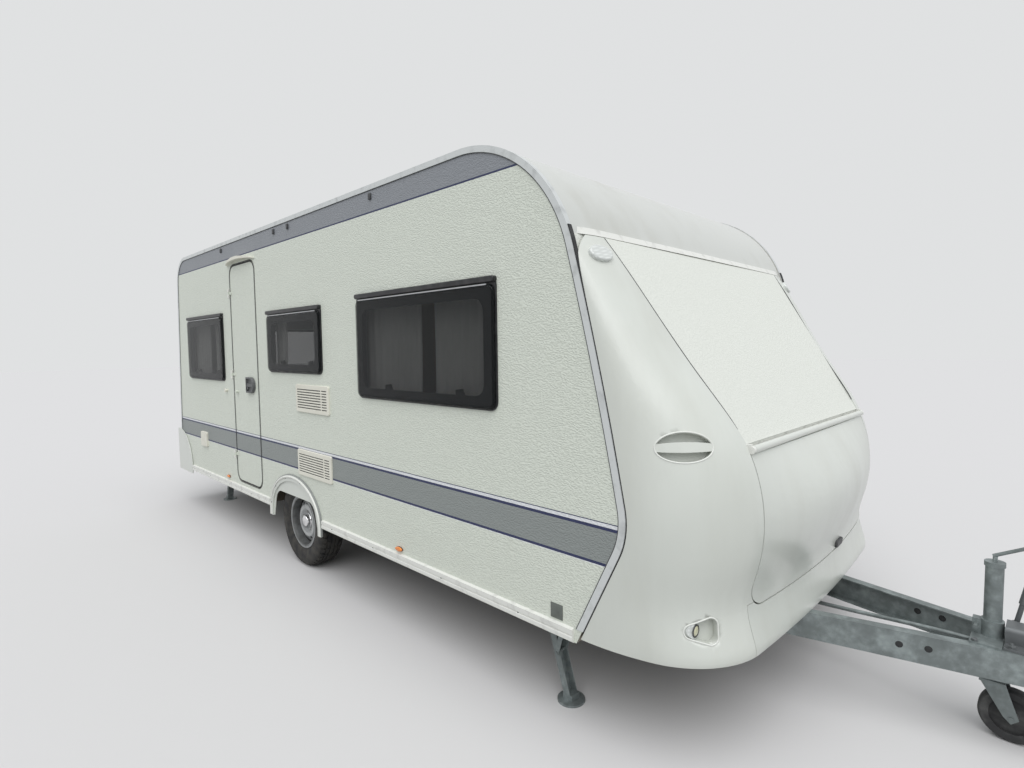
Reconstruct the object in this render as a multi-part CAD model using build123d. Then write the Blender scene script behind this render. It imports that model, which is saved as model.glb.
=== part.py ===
from build123d import *
from math import atan, atan2, cos, hypot, pi, radians, sin
import os

# Single-axle travel caravan. +X is forward to the coupling, +Y the left side, +Z up, and the
# ground is z = 0. The origin lies below the middle of the whole trailer. All sizes are in mm.
# Distances along the body are measured from the lower rear corner of the side walls.

# Body
HALF_W = 1150
WALL_T = 32
WALL_BOTTOM = 375
OUTLINE_DOWN = 200
ROOF_Z = 2505
ROOF_WRAP = 290
REAR_LEAN = 139
REAR_R = 250
KNEE_X = 5515
KNEE_Z = 877
KNEE_R = 300
FRONT_LOW_X = 5271
ROOF_FRONT_X = 5103
ROOF_FRONT_R = 700
FRONT_BOW = 25
CHASSIS_TOP = 400
FLOOR_T = 36
RAIL_T = 4
RAIL_FACE = 24
RAIL_EDGE = 5
NOSE_GAP = 5
GASKET_DEEP = 20
FAR = 9000

# Running gear and drawbar
AXLE_X = 2690
TYRE_R = 325
TYRE_W = 185
TYRE_SHOULDER = 26
SHOULDER_IN = 8
SHOULDER_MID = (8, 16)
TREAD_IN = 6
BEAD_DEEP = 12
BEAD_H = 10
SIDE_FOOT = (24, 4)
SIDE_BULGE = 8
RIM_R = 186
RIM_INSET = 22
RIM_LIP = 8
RIM_METAL = 5
RIM_WELL = (8, 14)
DISC_FRONT = [(0, 28), (62, 28), (84, 46), (112, 46), (142, 30)]
DISC_REAR = [(140, 24), (110, 40), (86, 40), (64, 22), (0, 22)]
DISC_EDGE = (6, 12, 7)
RIM_SLOTS = 16
SLOT_CIRCLE = 128
SLOT = (26, 15)
WHEEL_INSET = 128
AXLE_TUBE_R = 46
ARM_BACK = 160
ARM_T = 34
ARM_GAP = 10
ARM_HALF = 45
ARM_PAST = 50
ARM_R = 30
STUB_R = 18
STUB_PAST = 20
BORE_PAST = 24
DRUM_R = 112
DRUM_W = 77
HUB_CAP_R = 45
HUB_CAP_RISE = 34
HUB_CAP_TAPER = 7
HUB_CAP_EDGE = 6
RAIL_Y = 650
CHASSIS_H = 118
CHASSIS_FLANGE = 45
CHASSIS_PLATE = 5
CROSS_W = 40
CROSS_IN = (60, 420, 80)
CROSS_UP = 20
RAIL_START = 260
V_START = 4360
V_OUT_FRONT = 114
WEB_HOLES = [(6205, 345), (6300, 350)]
WEB_HOLE_R = 13
AXLE_TO_BALL = 4350
JOCKEY_TO_BALL = 560
BEAM_PAST_JOCKEY = (90, 210)
BALL_Z = 425
BALL_R = 25
BALL_FIT = 0.2
SOCKET_WALL = 17
COUPLING_NOSE = 80
NOSE_HALF = 30
NOSE_DROP = 12
NOSE_R = 28
GRIP = [(-34, 22), (-46, 72), (-24, 94), (66, 114), (70, 98), (-10, 78), (-10, 22)]
GRIP_HALF = 14
GRIP_R = 5
BUMPER_REACH = 60
HOUSING_AHEAD = 42
HOUSING_L = 268
HOUSING_HALF = 52
HOUSING_H = 72
HOUSING_R = 18
BASE_INSET = 8
BASE_T = 10
GAITER_R = 42
GAITER_L = 130
GAITER_LAP = 5
SHAFT_R = 26
SHAFT_SHORT = 20
LEVER_RISE = 195
LEVER_LEAN = 38
LEVER_IN = 24
LEVER_OUT = 15
LEVER_UP = 40
LEVER_R = 9
LEVER_GRIP_R = 13
LEVER_BOSS = (20, 14)

# Nose below the lid's hinge: height, reach ahead of the body's edge, inset from the side,
# crown of the front, first turn of the corner in degrees
NOSE_T = 12
NOSE_BACK = 260
LIP_ROWS = [
    (395, 577, 384, 26, 17),
    (470, 533, 380, 34, 17),
    (580, 454, 370, 46, 20),
    (750, 403, 370, 59, 28),
    (930, 372, 370, 67, 38),
]
# Nose beside the flat front panel: reach and inset of its foot and of its head, then the
# height, length and first turn of each corner section
PANEL_FOOT = (357, 372)
PANEL_HEAD = (35, 210)
PANEL_CROWN = 3
PANEL_LOW_Z = 1206
PANEL_T = 28
FOOT_DROP = 13
HEAD_DROP = 503
STRIP_DROP = 469
STRIP_H = 30
PANEL_ROWS = [
    (PANEL_LOW_Z - FOOT_DROP, 364, 42),
    (1460, 245, 50),
    (1730, 140, 58),
    (ROOF_Z - HEAD_DROP, 60, 68),
    (ROOF_Z - STRIP_DROP + STRIP_H, 47, 70),
]
SEAM = 3
BATTEN_INSET = 290
BATTEN_H = 70

# Gas locker lid
LID_INSET = 370
LID_LOW_Z = 572
LID_DROP = 38
LID_CORNER_R = 90
LID_GAP = 6
LID_AXIS_OUT = 12
LID_AXIS_DROP = 21
LID_BEAD_R = 15
LID_BEAD_SHORT = 15
BEAD_WEB = (2, 18)
BEAD_LAP = 10
BEAD_GAP = 2
HINGE_WEB = (24, 36)
LIP_SEAM_INSET = 350
LIP_RISE = 20
LOCKER_T = 12
PIN_R = 5
PIN_FIT = 0.3
LATCH = (190, 595, 100, 34)
LATCH_RISE = 13
LATCH_R = 10
LATCH_EDGE = 4

# Handles and lamps of the nose corners: inset from the side and height
GRAB_AT = (105, 1217)
GRAB_LONG = 105
GRAB_HIGH = 54
GRAB_DEEP = 46
GRAB_BAR = (150, 19, 26)
MARKER_AT = (115, 553)
MARKER_OVAL = (59, 40)
MARKER_RISE = 14
MARKER_EDGE = 8
LAMP_AT = (155, 531)
LAMP_DEEP = 46
LAMP_R = 31
LAMP_BACK = (24, 12)
LAMP_RECESS = [(30, 19, 28), (30, -19, 28), (-44, 0, 24)]
POCKET_T = 4
POCKET_OUT = 30

# Openings in the side walls: from, to, low, high
DOOR_DROP = 209
DOOR = (1580, 2115, 470, ROOF_Z - DOOR_DROP)
DOOR_R = 90
DOOR_GAP = 8
DOOR_AXIS_OUT = 16
DOOR_HINGE_IN = 230
HINGE_R = 8
HINGE_PIN_R = 4
HINGE_PLATE = (3, 40, 5)
HINGE_NECK = 9
KNUCKLE = 24
WINDOWS = {
    "right": [(3640, 4833, 1295, 1905), (2345, 3185, 1419, 1876), (430, 1392, 1317, 1911)],
    "left": [(3640, 4833, 1295, 1905), (430, 1392, 1317, 1911)],
}
CURTAIN_W = {"right": [560, 190, 440], "left": [560, 440]}
WINDOW_R = 45
FRAME_W = 42
FRAME_LAP = 22
FRAME_PROUD = 8
HINGE_RAIL_H = 28
HINGE_RAIL_PROUD = 26
HINGE_RAIL_R = 13
PANE_T = 4
PANE_RISE = 16
PANE_INSET = 6
PANE_RIM = 14
REAR_WINDOW = (1500, 1290, 1840)
SERVICE_DOOR = (2250, 2650, 760, 1120)
SERVICE_R = 25
SERVICE_HINGE_IN = 70
SERVICE_ROOM = (20, 60)

# Fittings on the right wall
VENTS = [(2793, 3262, 1153, 1344), (2786, 3270, 703, 887)]
VENT_R = 14
VENT_PROUD = 12
VENT_EDGE = 24
VENT_SLOTS = 8
VENT_NARROW = 66
VENT_POST = 14
INLET = (690, 850, 672, 812)
INLET_PROUD = 18
CAP = (1537, 2132)
CAP_GAP = 5
CAP_RISE = 40
CAP_T = 24
CAP_DEEP = 52
PEGS = {"wall": (1420, 1238), "door": (1674, 1239)}
PEG_R = 10
PEG_HEAD_R = 15
PEG_L = 24
HANDLE = (1899, 2051, 1241, 1368)
HANDLE_PROUD = 24
HANDLE_EDGE = 13
HANDLE_WELL = 14
PADDLE_H = 26
PADDLE_IN = 3
LOCK_R = 10
MARKERS = [(4020, 462), (1373, 471)]
SIDE_MARKER = (32, 16, 13)

# Wheel arch
ARCH_HALF = 408
ARCH_TOP = 675
ARCH_LAP = 14
ARCH_SKIRT = 60
ARCH_RIM = 44
ARCH_RIM_PROUD = 14
ARCH_PLATE = 4
ARCH_OPEN_LOW = 355
ARCH_OPEN_TOP = 300
ARCH_OPEN_Z = 525
ARCH_OPEN_R = 100
BOX_HALF = 430
BOX_TOP = 720
BOX_DEEP = 290
BOX_T = 15
BOX_CLEAR = 5

# Rear skirt
SKIRT_LOW = 345
WING_TOP = 777
WING_FRONT = 360
WING_PROUD = 12
WING_EDGE = (20, 30)
REAR_LAMP = (60, 290, 560, 700)
REAR_LAMP_T = 14

# Sill trim
SILL_LOW = 372
SILL_TOP = 436
SILL_PROUD = 14
SILL_GROOVE = 5
SILL_CLEAR = 12

# Roof hatches: middle along the body, half width, name
HATCHES = [("front", 3450, 200), ("rear", 1250, 200)]
HATCH_WALL = 6
HATCH_FLANGE = 30
HATCH_H = 42
HATCH_LID_H = 62
HATCH_LID_UP = 14
HATCH_EDGE = 18
HATCH_LID_T = 4
HATCH_LAP = 18
HATCH_AXIS_UP = 30
HATCH_HINGE_Y = 120
HATCH_RAIL = 10
HATCH_EAR = (13, 5, 8)
HATCH_PIN_HALF = 18
HATCH_KNUCKLE = (7, 3, 4)

# Steadies: pivot along the body, side distance, direction of folding
LEG_PIVOT_Z = 352
LEG_ANGLE = 73
LEG_TUBE = 34
LEG_WIDTH = 54
LEG_PIN_R = 7
LEG_SHORT = 8
LEG_PAST = 22
LEG_METAL = 4
PIN_PAST = 9
STRUT_PIN = 150
STRUT_T = 4
STRUT_GAP = 2
STRUT_ENDS = (13, 11)
NUT_PIN = (5, 3, 6)
EAR_HALF = 24
EAR_GAP = 11
EAR_T = 4
EAR_DROP = 16
MOUNT_T = 5
SPINDLE_R = 8
BEARING_NEAR = 38
BEARING_FAR = 318
BEARING_T = 8
BEARING_SIZE = (15, 11)
FRONT_LEG_BACK = 251
FRONT_LEG_INSET = 150
REAR_LEG_X = 422
REAR_LEG_OUT = 155
FOOT_R = 62
FOOT_T = 10
FOOT_BLOCK = 26

# Jockey wheel
JOCKEY_TUBE_R = 30
JOCKEY_TUBE_T = 3
JOCKEY_TOP = 690
JOCKEY_LOW = 310
JOCKEY_CAP_T = 20
JOCKEY_HEAD = (4, 18)
STEM_SHORT = 120
CRANK_UP = 40
CRANK_REACH = 95
CRANK_RISE = 55
CRANK_R = 8
CRANK_ARM_R = 7
CRANK_GRIP_R = 11
CRANK_GRIP = (50, 130)
CLAMP_H = 70
CLAMP_BACK = 62
CLAMP_AHEAD = 38
CLAMP_HALF = 118
CLAMP_T = 8
CLAMP_WEB = (20, 18, 4)
CLAMP_SCREW = (48, -60, 20, 44, 7)
FORK_TOP = 235
FORK_CLEAR = 1
FORK_PLATE = 10
FORK_BACK = 32
FORK_AHEAD = 50
FORK_TOE = (24, 22)
FORK_AXLE_PAST = 4
FORK_PIN_L = 85
FORK_PIN_R = 14
FORK_T = 5
JOCKEY_WHEEL_R = 105
JOCKEY_WHEEL_W = 60
JOCKEY_HUB_R = 24
JOCKEY_WEB = 12
JOCKEY_TYRE = [(35, 6), (8, 2), (0, 14)]
JOCKEY_AXLE_R = 8
JOCKEY_TRAIL = 70

# Furniture
LINING_GAP = 3
BOARD_T = 15
SEAT_FROM = 3640
SEAT_SHORT = 111
SEAT_DEEP = 620
SEAT_Z = 830
SEAT_BACK_H = 430
SEAT_BACK_T = 120
CUSHION_T = 120
CUSHION_EDGE = 10
CUSHION_GAP = 1
BED = (110, 1450, 780)
MATTRESS_T = 130
KITCHEN = (2260, 3480, 1320)
KITCHEN_DEEP = 558
BASIN = (2560, 820, 150, 120)
WASHROOM = (1900, 3120)
WASHROOM_DEEP = 818
WASHROOM_T = 20
WASHROOM_SHORT = 30
CURTAIN_IN = (16, 50)
ROD_UP = 30
ROD_R = 7
ROD_PAST = 60
ROD_HOOK = (8, 10)
CURTAIN_PAST = 20

RIM_HALF = TYRE_W / 2 - RIM_INSET
WHEEL_Y = HALF_W - WHEEL_INSET
BOX_IN = HALF_W - BOX_DEEP
FRONT_LEG_X = FRONT_LOW_X - FRONT_LEG_BACK
JOCKEY_X = AXLE_X + AXLE_TO_BALL - JOCKEY_TO_BALL
V_FRONT = JOCKEY_X + BEAM_PAST_JOCKEY[0]
V_END = JOCKEY_X + BEAM_PAST_JOCKEY[1]
STRIP_Z = ROOF_Z - STRIP_DROP
LID_HALF = HALF_W - LID_INSET
LID_TOP_Z = PANEL_LOW_Z - LID_DROP
REAR = (BUMPER_REACH - AXLE_X - AXLE_TO_BALL - COUPLING_NOSE) / 2


def at(x):
    """X in the frame of a distance from the lower rear corner of the walls."""
    return REAR + x


def block(x0, x1, y0, y1, z0, z1):
    """Box between six planes."""
    return Pos((x0 + x1) / 2, (y0 + y1) / 2, (z0 + z1) / 2) * Box(x1 - x0, y1 - y0, z1 - z0)


def across(sketch, y0, y1):
    """A sketch of X and Z, drawn out between two planes of Y."""
    return extrude(Plane.XZ.offset(-y1) * sketch, amount=y1 - y0)


def upright(sketch, x0, x1):
    """A sketch of Y and Z, drawn out between two planes of X."""
    return extrude(Plane.YZ.offset(x0) * sketch, amount=x1 - x0)


def bar(p, q, r):
    """Round bar of radius r between two points."""
    line = Vector(*q) - Vector(*p)
    return extrude(Plane(Vector(*p), z_dir=line) * Circle(r), amount=line.length)


def mirrored(part):
    """The same piece on the other side of the middle plane."""
    return mirror(part, about=Plane.XZ)


def save(name, *solids):
    """Write one node; several solids that don't touch share it."""
    shape = solids[0] if len(solids) == 1 else Compound(children=list(solids))
    export_step(shape, f"parts/{name}.step")


os.makedirs("parts", exist_ok=True)
LOW = (Align.CENTER, Align.CENTER, Align.MIN)

# Body outline
LOW_SLOPE = (KNEE_X - FRONT_LOW_X) / (KNEE_Z - WALL_BOTTOM)
REAR_SLOPE = REAR_LEAN / (ROOF_Z - WALL_BOTTOM)


def outline(bottom):
    """Side outline of the body, with its lower edge at a given height."""
    drop = WALL_BOTTOM - bottom
    rear_low = (at(-REAR_SLOPE * drop), bottom)
    rear_top = (at(REAR_LEAN), ROOF_Z)
    front_top = (at(ROOF_FRONT_X), ROOF_Z)
    knee = (at(KNEE_X), KNEE_Z)
    front_low = (at(FRONT_LOW_X - LOW_SLOPE * drop), bottom)
    run, rise = front_top[0] - knee[0], front_top[1] - knee[1]
    length = hypot(run, rise)
    bow = (
        (knee[0] + front_top[0]) / 2 + FRONT_BOW * rise / length,
        (knee[1] + front_top[1]) / 2 - FRONT_BOW * run / length,
    )
    face = make_face(
        Line(rear_low, rear_top) + Line(rear_top, front_top)
        + ThreePointArc(front_top, bow, knee) + Line(knee, front_low) + Line(front_low, rear_low)
    )
    for corner, radius in ((rear_top, REAR_R), (front_top, ROOF_FRONT_R), (knee, KNEE_R)):
        face = fillet(face.vertices().sort_by_distance((*corner, 0))[0], radius)
    return face


wall_face = outline(WALL_BOTTOM)
ring_outer = outline(WALL_BOTTOM - OUTLINE_DOWN)
ring_inner = offset(ring_outer, amount=-WALL_T)
IN_Y = HALF_W - WALL_T


def opening(row, radius, grow=0):
    """Rounded opening in a side wall, from a row of from, to, low, high."""
    x0, x1, z0, z1 = row
    return Pos(at((x0 + x1) / 2), (z0 + z1) / 2) * RectangleRounded(
        x1 - x0 + 2 * grow, z1 - z0 + 2 * grow, radius + grow
    )


# Wheel arch outline
def arch(grow):
    """Half ellipse of the wheel arch, open below the wall."""
    top = Pos(at(AXLE_X), WALL_BOTTOM) * Ellipse(ARCH_HALF + grow, ARCH_TOP - WALL_BOTTOM + grow)
    above = Pos(at(AXLE_X), WALL_BOTTOM + FAR / 2) * Rectangle(FAR, FAR)
    skirt = Pos(at(AXLE_X), WALL_BOTTOM - ARCH_SKIRT / 2) * Rectangle(2 * (ARCH_HALF + grow), ARCH_SKIRT)
    return (top & above) + skirt


# Side walls
def side_wall(side):
    """One side wall with its windows, door and arch cut."""
    face = wall_face - arch(-ARCH_LAP)
    for row in WINDOWS[side]:
        face -= opening(row, WINDOW_R, -FRAME_LAP)
    if side == "right":
        face -= opening(DOOR, DOOR_R)
    else:
        face -= opening(SERVICE_DOOR, SERVICE_R)
    return face


wall_left = across(side_wall("left"), IN_Y, HALF_W)
wall_right = across(side_wall("right"), -HALF_W, -IN_Y)
save("wall_right", wall_right)
save("wall_left", wall_left)

# Roof, rear wall, front wall and floor
ring = across(ring_outer - ring_inner, -IN_Y, IN_Y)
MIDDLE = at(KNEE_X / 2)
ROOF_SPLIT = ROOF_Z - ROOF_WRAP
roof = ring & (
    block(-FAR, MIDDLE, -FAR, FAR, ROOF_SPLIT, FAR) + block(MIDDLE, FAR, -FAR, FAR, STRIP_Z, FAR)
)
for _, mid, half in HATCHES:
    roof -= block(at(mid) - half, at(mid) + half, -half, half, ROOF_SPLIT, FAR)
save("roof", roof)

rear_wall = ring & block(-FAR, MIDDLE, -FAR, FAR, CHASSIS_TOP, ROOF_SPLIT)
REAR_WIN_HALF, REAR_WIN_LOW, REAR_WIN_TOP = REAR_WINDOW[0] / 2, REAR_WINDOW[1], REAR_WINDOW[2]
rear_cut = Pos(0, (REAR_WIN_LOW + REAR_WIN_TOP) / 2) * RectangleRounded(
    2 * (REAR_WIN_HALF - FRAME_LAP), REAR_WIN_TOP - REAR_WIN_LOW - 2 * FRAME_LAP, WINDOW_R - FRAME_LAP
)
rear_wall -= upright(rear_cut, -FAR, MIDDLE)
save("rear_wall", rear_wall)

front_wall = ring & block(MIDDLE, FAR, -FAR, FAR, CHASSIS_TOP, STRIP_Z)
save("front_wall", front_wall)

FLOOR_TOP = CHASSIS_TOP + FLOOR_T
floor = across(ring_inner, -IN_Y, IN_Y) & block(-FAR, FAR, -FAR, FAR, CHASSIS_TOP, FLOOR_TOP)
for side in (1, -1):
    near, far = sorted((side * BOX_IN, side * FAR))
    floor -= block(at(AXLE_X - BOX_HALF), at(AXLE_X + BOX_HALF), near, far, 0, BOX_TOP)


def wheel_box(side):
    """Inner wheel housing on the floor, open below."""
    x0, x1 = at(AXLE_X - BOX_HALF), at(AXLE_X + BOX_HALF)
    outer = block(x0, x1, *sorted((side * BOX_IN, side * IN_Y)), CHASSIS_TOP, BOX_TOP)
    inner = block(
        x0 + BOX_T, x1 - BOX_T, *sorted((side * (BOX_IN + BOX_T), side * FAR)), 0, BOX_TOP - BOX_T
    )
    return outer - inner


floor += wheel_box(-1) + wheel_box(1)

# Edge rails round the side walls
above_sill = Pos(0, SILL_TOP + FAR / 2) * Rectangle(2 * FAR, FAR)
rail_band = (offset(ring_outer, amount=RAIL_EDGE) - offset(ring_outer, amount=-RAIL_FACE)) & above_sill
rail_rim = (offset(ring_outer, amount=RAIL_EDGE) - ring_outer) & above_sill


def edge_rail():
    """Left edge rail: a flat leg on the wall and a leg over the roof and front edges."""
    return across(rail_band, HALF_W, HALF_W + RAIL_T) + across(rail_rim, HALF_W - RAIL_FACE, HALF_W)


rail_left = edge_rail()
save("edge_rails", rail_left, mirrored(rail_left))

# Sill trims, behind and ahead of the arch
SILL_ENDS = [
    (WING_FRONT + SILL_CLEAR, AXLE_X - ARCH_HALF - SILL_CLEAR),
    (AXLE_X + ARCH_HALF + SILL_CLEAR, FRONT_LOW_X - SILL_CLEAR),
]


def sill(x0, x1):
    """One length of sill trim with two ribs, on the left wall."""
    face, middle = HALF_W + SILL_PROUD, (SILL_LOW + SILL_TOP) / 2
    profile = make_face(Polyline(
        (HALF_W, SILL_LOW), (face, SILL_LOW + 2 * SILL_GROOVE), (face, middle - SILL_GROOVE),
        (face - SILL_GROOVE, middle), (face, middle + SILL_GROOVE), (face, SILL_TOP - SILL_GROOVE),
        (HALF_W, SILL_TOP), (HALF_W, SILL_LOW),
    ))
    return upright(profile, at(x0), at(x1))


sills = [sill(x0, x1) for x0, x1 in SILL_ENDS]
save("sill_trims", *sills, *[mirrored(part) for part in sills])


# Wheel arch covers
def arch_cover():
    """Left arch cover: a raised rim and a flat plate with a smaller opening for the wheel."""
    base = WALL_BOTTOM - ARCH_SKIRT
    hole = make_face(Polyline(
        (at(AXLE_X - ARCH_OPEN_LOW), base), (at(AXLE_X - ARCH_OPEN_TOP), ARCH_OPEN_Z),
        (at(AXLE_X + ARCH_OPEN_TOP), ARCH_OPEN_Z), (at(AXLE_X + ARCH_OPEN_LOW), base),
        (at(AXLE_X - ARCH_OPEN_LOW), base),
    ))
    for end in (-1, 1):
        corner = (at(AXLE_X + end * ARCH_OPEN_TOP), ARCH_OPEN_Z, 0)
        hole = fillet(hole.vertices().sort_by_distance(corner)[0], ARCH_OPEN_R)
    plate = across(arch(0) - hole, HALF_W, HALF_W + ARCH_PLATE)
    rim = across(arch(0) - arch(-ARCH_RIM), HALF_W + ARCH_PLATE, HALF_W + ARCH_RIM_PROUD)
    return plate + rim


cover_left = arch_cover()
save("arch_covers", cover_left, mirrored(cover_left))


# Windows
def window(row, side):
    """Frame with its hinge rail, and domed pane, of one side window."""
    x0, x1, z0, z1 = row
    face, light = HALF_W + FRAME_PROUD, (x0, x1, z0, z1 - HINGE_RAIL_H)
    frame = opening(row, WINDOW_R) - opening(row, WINDOW_R, -FRAME_W)
    plug = opening(row, WINDOW_R, -FRAME_LAP) - opening(row, WINDOW_R, -FRAME_W)
    rail = opening((x0, x1, z1 - HINGE_RAIL_H, z1), HINGE_RAIL_R)
    ring_part = across(frame + rail, HALF_W, face) + across(plug, IN_Y, HALF_W)
    hinge_rail = across(rail, HALF_W, HALF_W + HINGE_RAIL_PROUD)
    ring_part += fillet(hinge_rail.faces().sort_by(Axis.Y)[-1].edges(), HINGE_RAIL_R / 2)
    outer = across(opening(light, WINDOW_R, -PANE_INSET), face, face + PANE_RISE)
    outer = fillet(outer.faces().sort_by(Axis.Y)[-1].edges(), PANE_RISE - PANE_T)
    inner = opening(light, WINDOW_R, -PANE_INSET - PANE_RIM)
    pane = outer - across(inner, HALF_W, face + PANE_RISE - PANE_T)
    if side == "left":
        return ring_part, pane
    return mirrored(ring_part), mirrored(pane)


frames, panes = [], []
for side in ("right", "left"):
    for row in WINDOWS[side]:
        frame_part, pane_part = window(row, side)
        frames.append(frame_part)
        panes.append(pane_part)

REAR_TILT = atan(REAR_SLOPE)
rear_mid_z = (REAR_WIN_LOW + REAR_WIN_TOP) / 2
rear_mid_x = at(REAR_SLOPE * (rear_mid_z - WALL_BOTTOM))
rear_plane = Plane(
    origin=(rear_mid_x, 0, rear_mid_z), x_dir=(0, 1, 0),
    z_dir=(-cos(REAR_TILT), 0, sin(REAR_TILT)),
)


def rear_opening(grow):
    """Rounded outline of the rear window in the plane of the rear wall."""
    wide, high = 2 * (REAR_WIN_HALF + grow), REAR_WIN_TOP - REAR_WIN_LOW + 2 * grow
    return RectangleRounded(wide, high, WINDOW_R + grow)


rear_frame = extrude(rear_plane * (rear_opening(0) - rear_opening(-FRAME_W)), amount=FRAME_PROUD)
rear_pane = extrude(rear_plane.offset(FRAME_PROUD) * rear_opening(-PANE_INSET), amount=PANE_RISE)
outwards = Axis(rear_plane.origin, rear_plane.z_dir)
rear_pane = fillet(rear_pane.faces().sort_by(outwards)[-1].edges(), PANE_RISE - PANE_T)
pane_room = rear_plane * rear_opening(-PANE_INSET - PANE_RIM)
rear_pane -= extrude(pane_room, amount=FRAME_PROUD + PANE_RISE - PANE_T)
save("window_panes", *panes, rear_pane)
save("window_frames", *frames, rear_frame)


# Fittings on the right wall
def vent(row):
    """Wall vent with louvres that slope down outwards, in a wide and a narrow column."""
    x0, x1, z0, z1 = row
    face, post = -HALF_W - VENT_PROUD, x1 - VENT_EDGE - VENT_NARROW
    cut = face + 2 * VENT_PROUD / 3
    plate = across(opening(row, VENT_R), face, -HALF_W)
    plate = fillet(plate.faces().sort_by(Axis.Y)[0].edges(), PANE_T)
    pitch = (z1 - z0 - 2 * VENT_EDGE) / VENT_SLOTS
    for i in range(VENT_SLOTS):
        low = z0 + VENT_EDGE + i * pitch
        high = low + 2 * pitch / 3
        slot = make_face(Polyline((face, low), (face, high), (cut, high), (face, low)))
        for start, end in ((x0 + VENT_EDGE, post - VENT_POST), (post, x1 - VENT_EDGE)):
            plate -= upright(slot, at(start), at(end))
    return plate


def rain_cap():
    """Arched cap above the door, deepest in its middle."""
    x0, x1, low = at(CAP[0]), at(CAP[1]), DOOR[3] + CAP_GAP
    middle = (x0 + x1) / 2
    crescent = make_face(
        ThreePointArc((x0, low), (middle, low + CAP_RISE), (x1, low))
        + ThreePointArc((x1, low), (middle, low + CAP_RISE - CAP_T), (x0, low))
    )
    plan = extrude(Pos(middle, -HALF_W, low) * Ellipse((x1 - x0) / 2, CAP_DEEP), amount=CAP_RISE)
    return across(crescent, -HALF_W - CAP_DEEP, -HALF_W) & plan


def peg(x, z):
    """Catch peg that stands out of the right wall's face."""
    start, end = (at(x), -HALF_W, z), (at(x), -HALF_W - PEG_L, z)
    return bar(start, end, PEG_R) + bar((at(x), -HALF_W - PEG_L + PEG_R, z), end, PEG_HEAD_R)


inlet = across(opening(INLET, VENT_R), -HALF_W - INLET_PROUD, -HALF_W)
inlet = fillet(inlet.faces().sort_by(Axis.Y)[0].edges(), PANE_T)
save("wall_fittings", inlet, rain_cap(), peg(*PEGS["wall"]), *[vent(row) for row in VENTS])

# Chassis
RAIL_LOW = CHASSIS_TOP - CHASSIS_H


def channel(flip):
    """Section of a chassis rail, open towards the middle, with its outer face at zero."""
    w, t, h = CHASSIS_FLANGE, CHASSIS_PLATE, CHASSIS_H
    face = Pos(-w / 2, -h / 2) * Rectangle(w, h) - Pos(-w / 2 - t, -h / 2) * Rectangle(w, h - 2 * t)
    return mirror(face, about=Plane.YZ) if flip else face


V_RUN = V_FRONT - V_START
V_ANGLE = atan2(RAIL_Y - V_OUT_FRONT, V_RUN)
rails, beams = [], []
for side in (1, -1):
    start = Plane(origin=(at(RAIL_START), side * RAIL_Y, CHASSIS_TOP), x_dir=(0, 1, 0), z_dir=(1, 0, 0))
    rails.append(extrude(start * channel(side < 0), amount=V_START - RAIL_START))
    along = Vector(cos(V_ANGLE), -side * sin(V_ANGLE), 0)
    sideways = Vector(sin(V_ANGLE) * side, cos(V_ANGLE), 0)
    plane = Plane(origin=(at(V_START), side * RAIL_Y, CHASSIS_TOP), x_dir=sideways, z_dir=along)
    beams.append(extrude(plane * channel(side < 0), amount=(V_END - V_START) / cos(V_ANGLE)))
CROSS_X = [
    RAIL_START + CROSS_IN[0], AXLE_X + ARM_BACK + CROSS_IN[1], V_START - CROSS_IN[2],
]
cross_half, cross_low = RAIL_Y - CHASSIS_PLATE, RAIL_LOW + CROSS_UP
chassis = rails[0] + rails[1]
for x in CROSS_X:
    chassis += block(at(x), at(x) + CROSS_W, -cross_half, cross_half, cross_low, cross_low + CROSS_W)
save("chassis_rails", chassis)
drawbar = beams[0] + beams[1] - chassis
for x, z in WEB_HOLES:
    drawbar -= across(Pos(at(x), z) * Circle(WEB_HOLE_R), -RAIL_Y, RAIL_Y)
save("drawbar", *drawbar.solids())

# Axle
TUBE_Z = RAIL_LOW - AXLE_TUBE_R
TUBE_X = at(AXLE_X + ARM_BACK)
HUB_IN = WHEEL_Y - TYRE_W / 2 - ARM_GAP
hub_x, stub_out = at(AXLE_X), WHEEL_Y + STUB_PAST
axle = bar((TUBE_X, -HUB_IN + ARM_T, TUBE_Z), (TUBE_X, HUB_IN - ARM_T, TUBE_Z), AXLE_TUBE_R)
for side in (1, -1):
    arm = make_face(Polyline(
        (TUBE_X + ARM_PAST, TUBE_Z - ARM_HALF), (TUBE_X + ARM_PAST, TUBE_Z + ARM_HALF),
        (hub_x - ARM_HALF, TYRE_R + ARM_HALF), (hub_x - ARM_HALF, TYRE_R - ARM_HALF),
        (TUBE_X + ARM_PAST, TUBE_Z - ARM_HALF),
    ))
    arm = fillet(arm.vertices(), ARM_R)
    axle += across(arm, *sorted((side * (HUB_IN - ARM_T), side * HUB_IN)))
    axle += bar((hub_x, side * (HUB_IN - ARM_T), TYRE_R), (hub_x, side * stub_out, TYRE_R), STUB_R)
save("axle", axle)


# Wheels
def wheel_plane(side):
    """Plane of a road wheel with its normal outwards."""
    return Plane(origin=(at(AXLE_X), side * WHEEL_Y, TYRE_R), x_dir=(side, 0, 0), z_dir=(0, side, 0))


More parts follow.
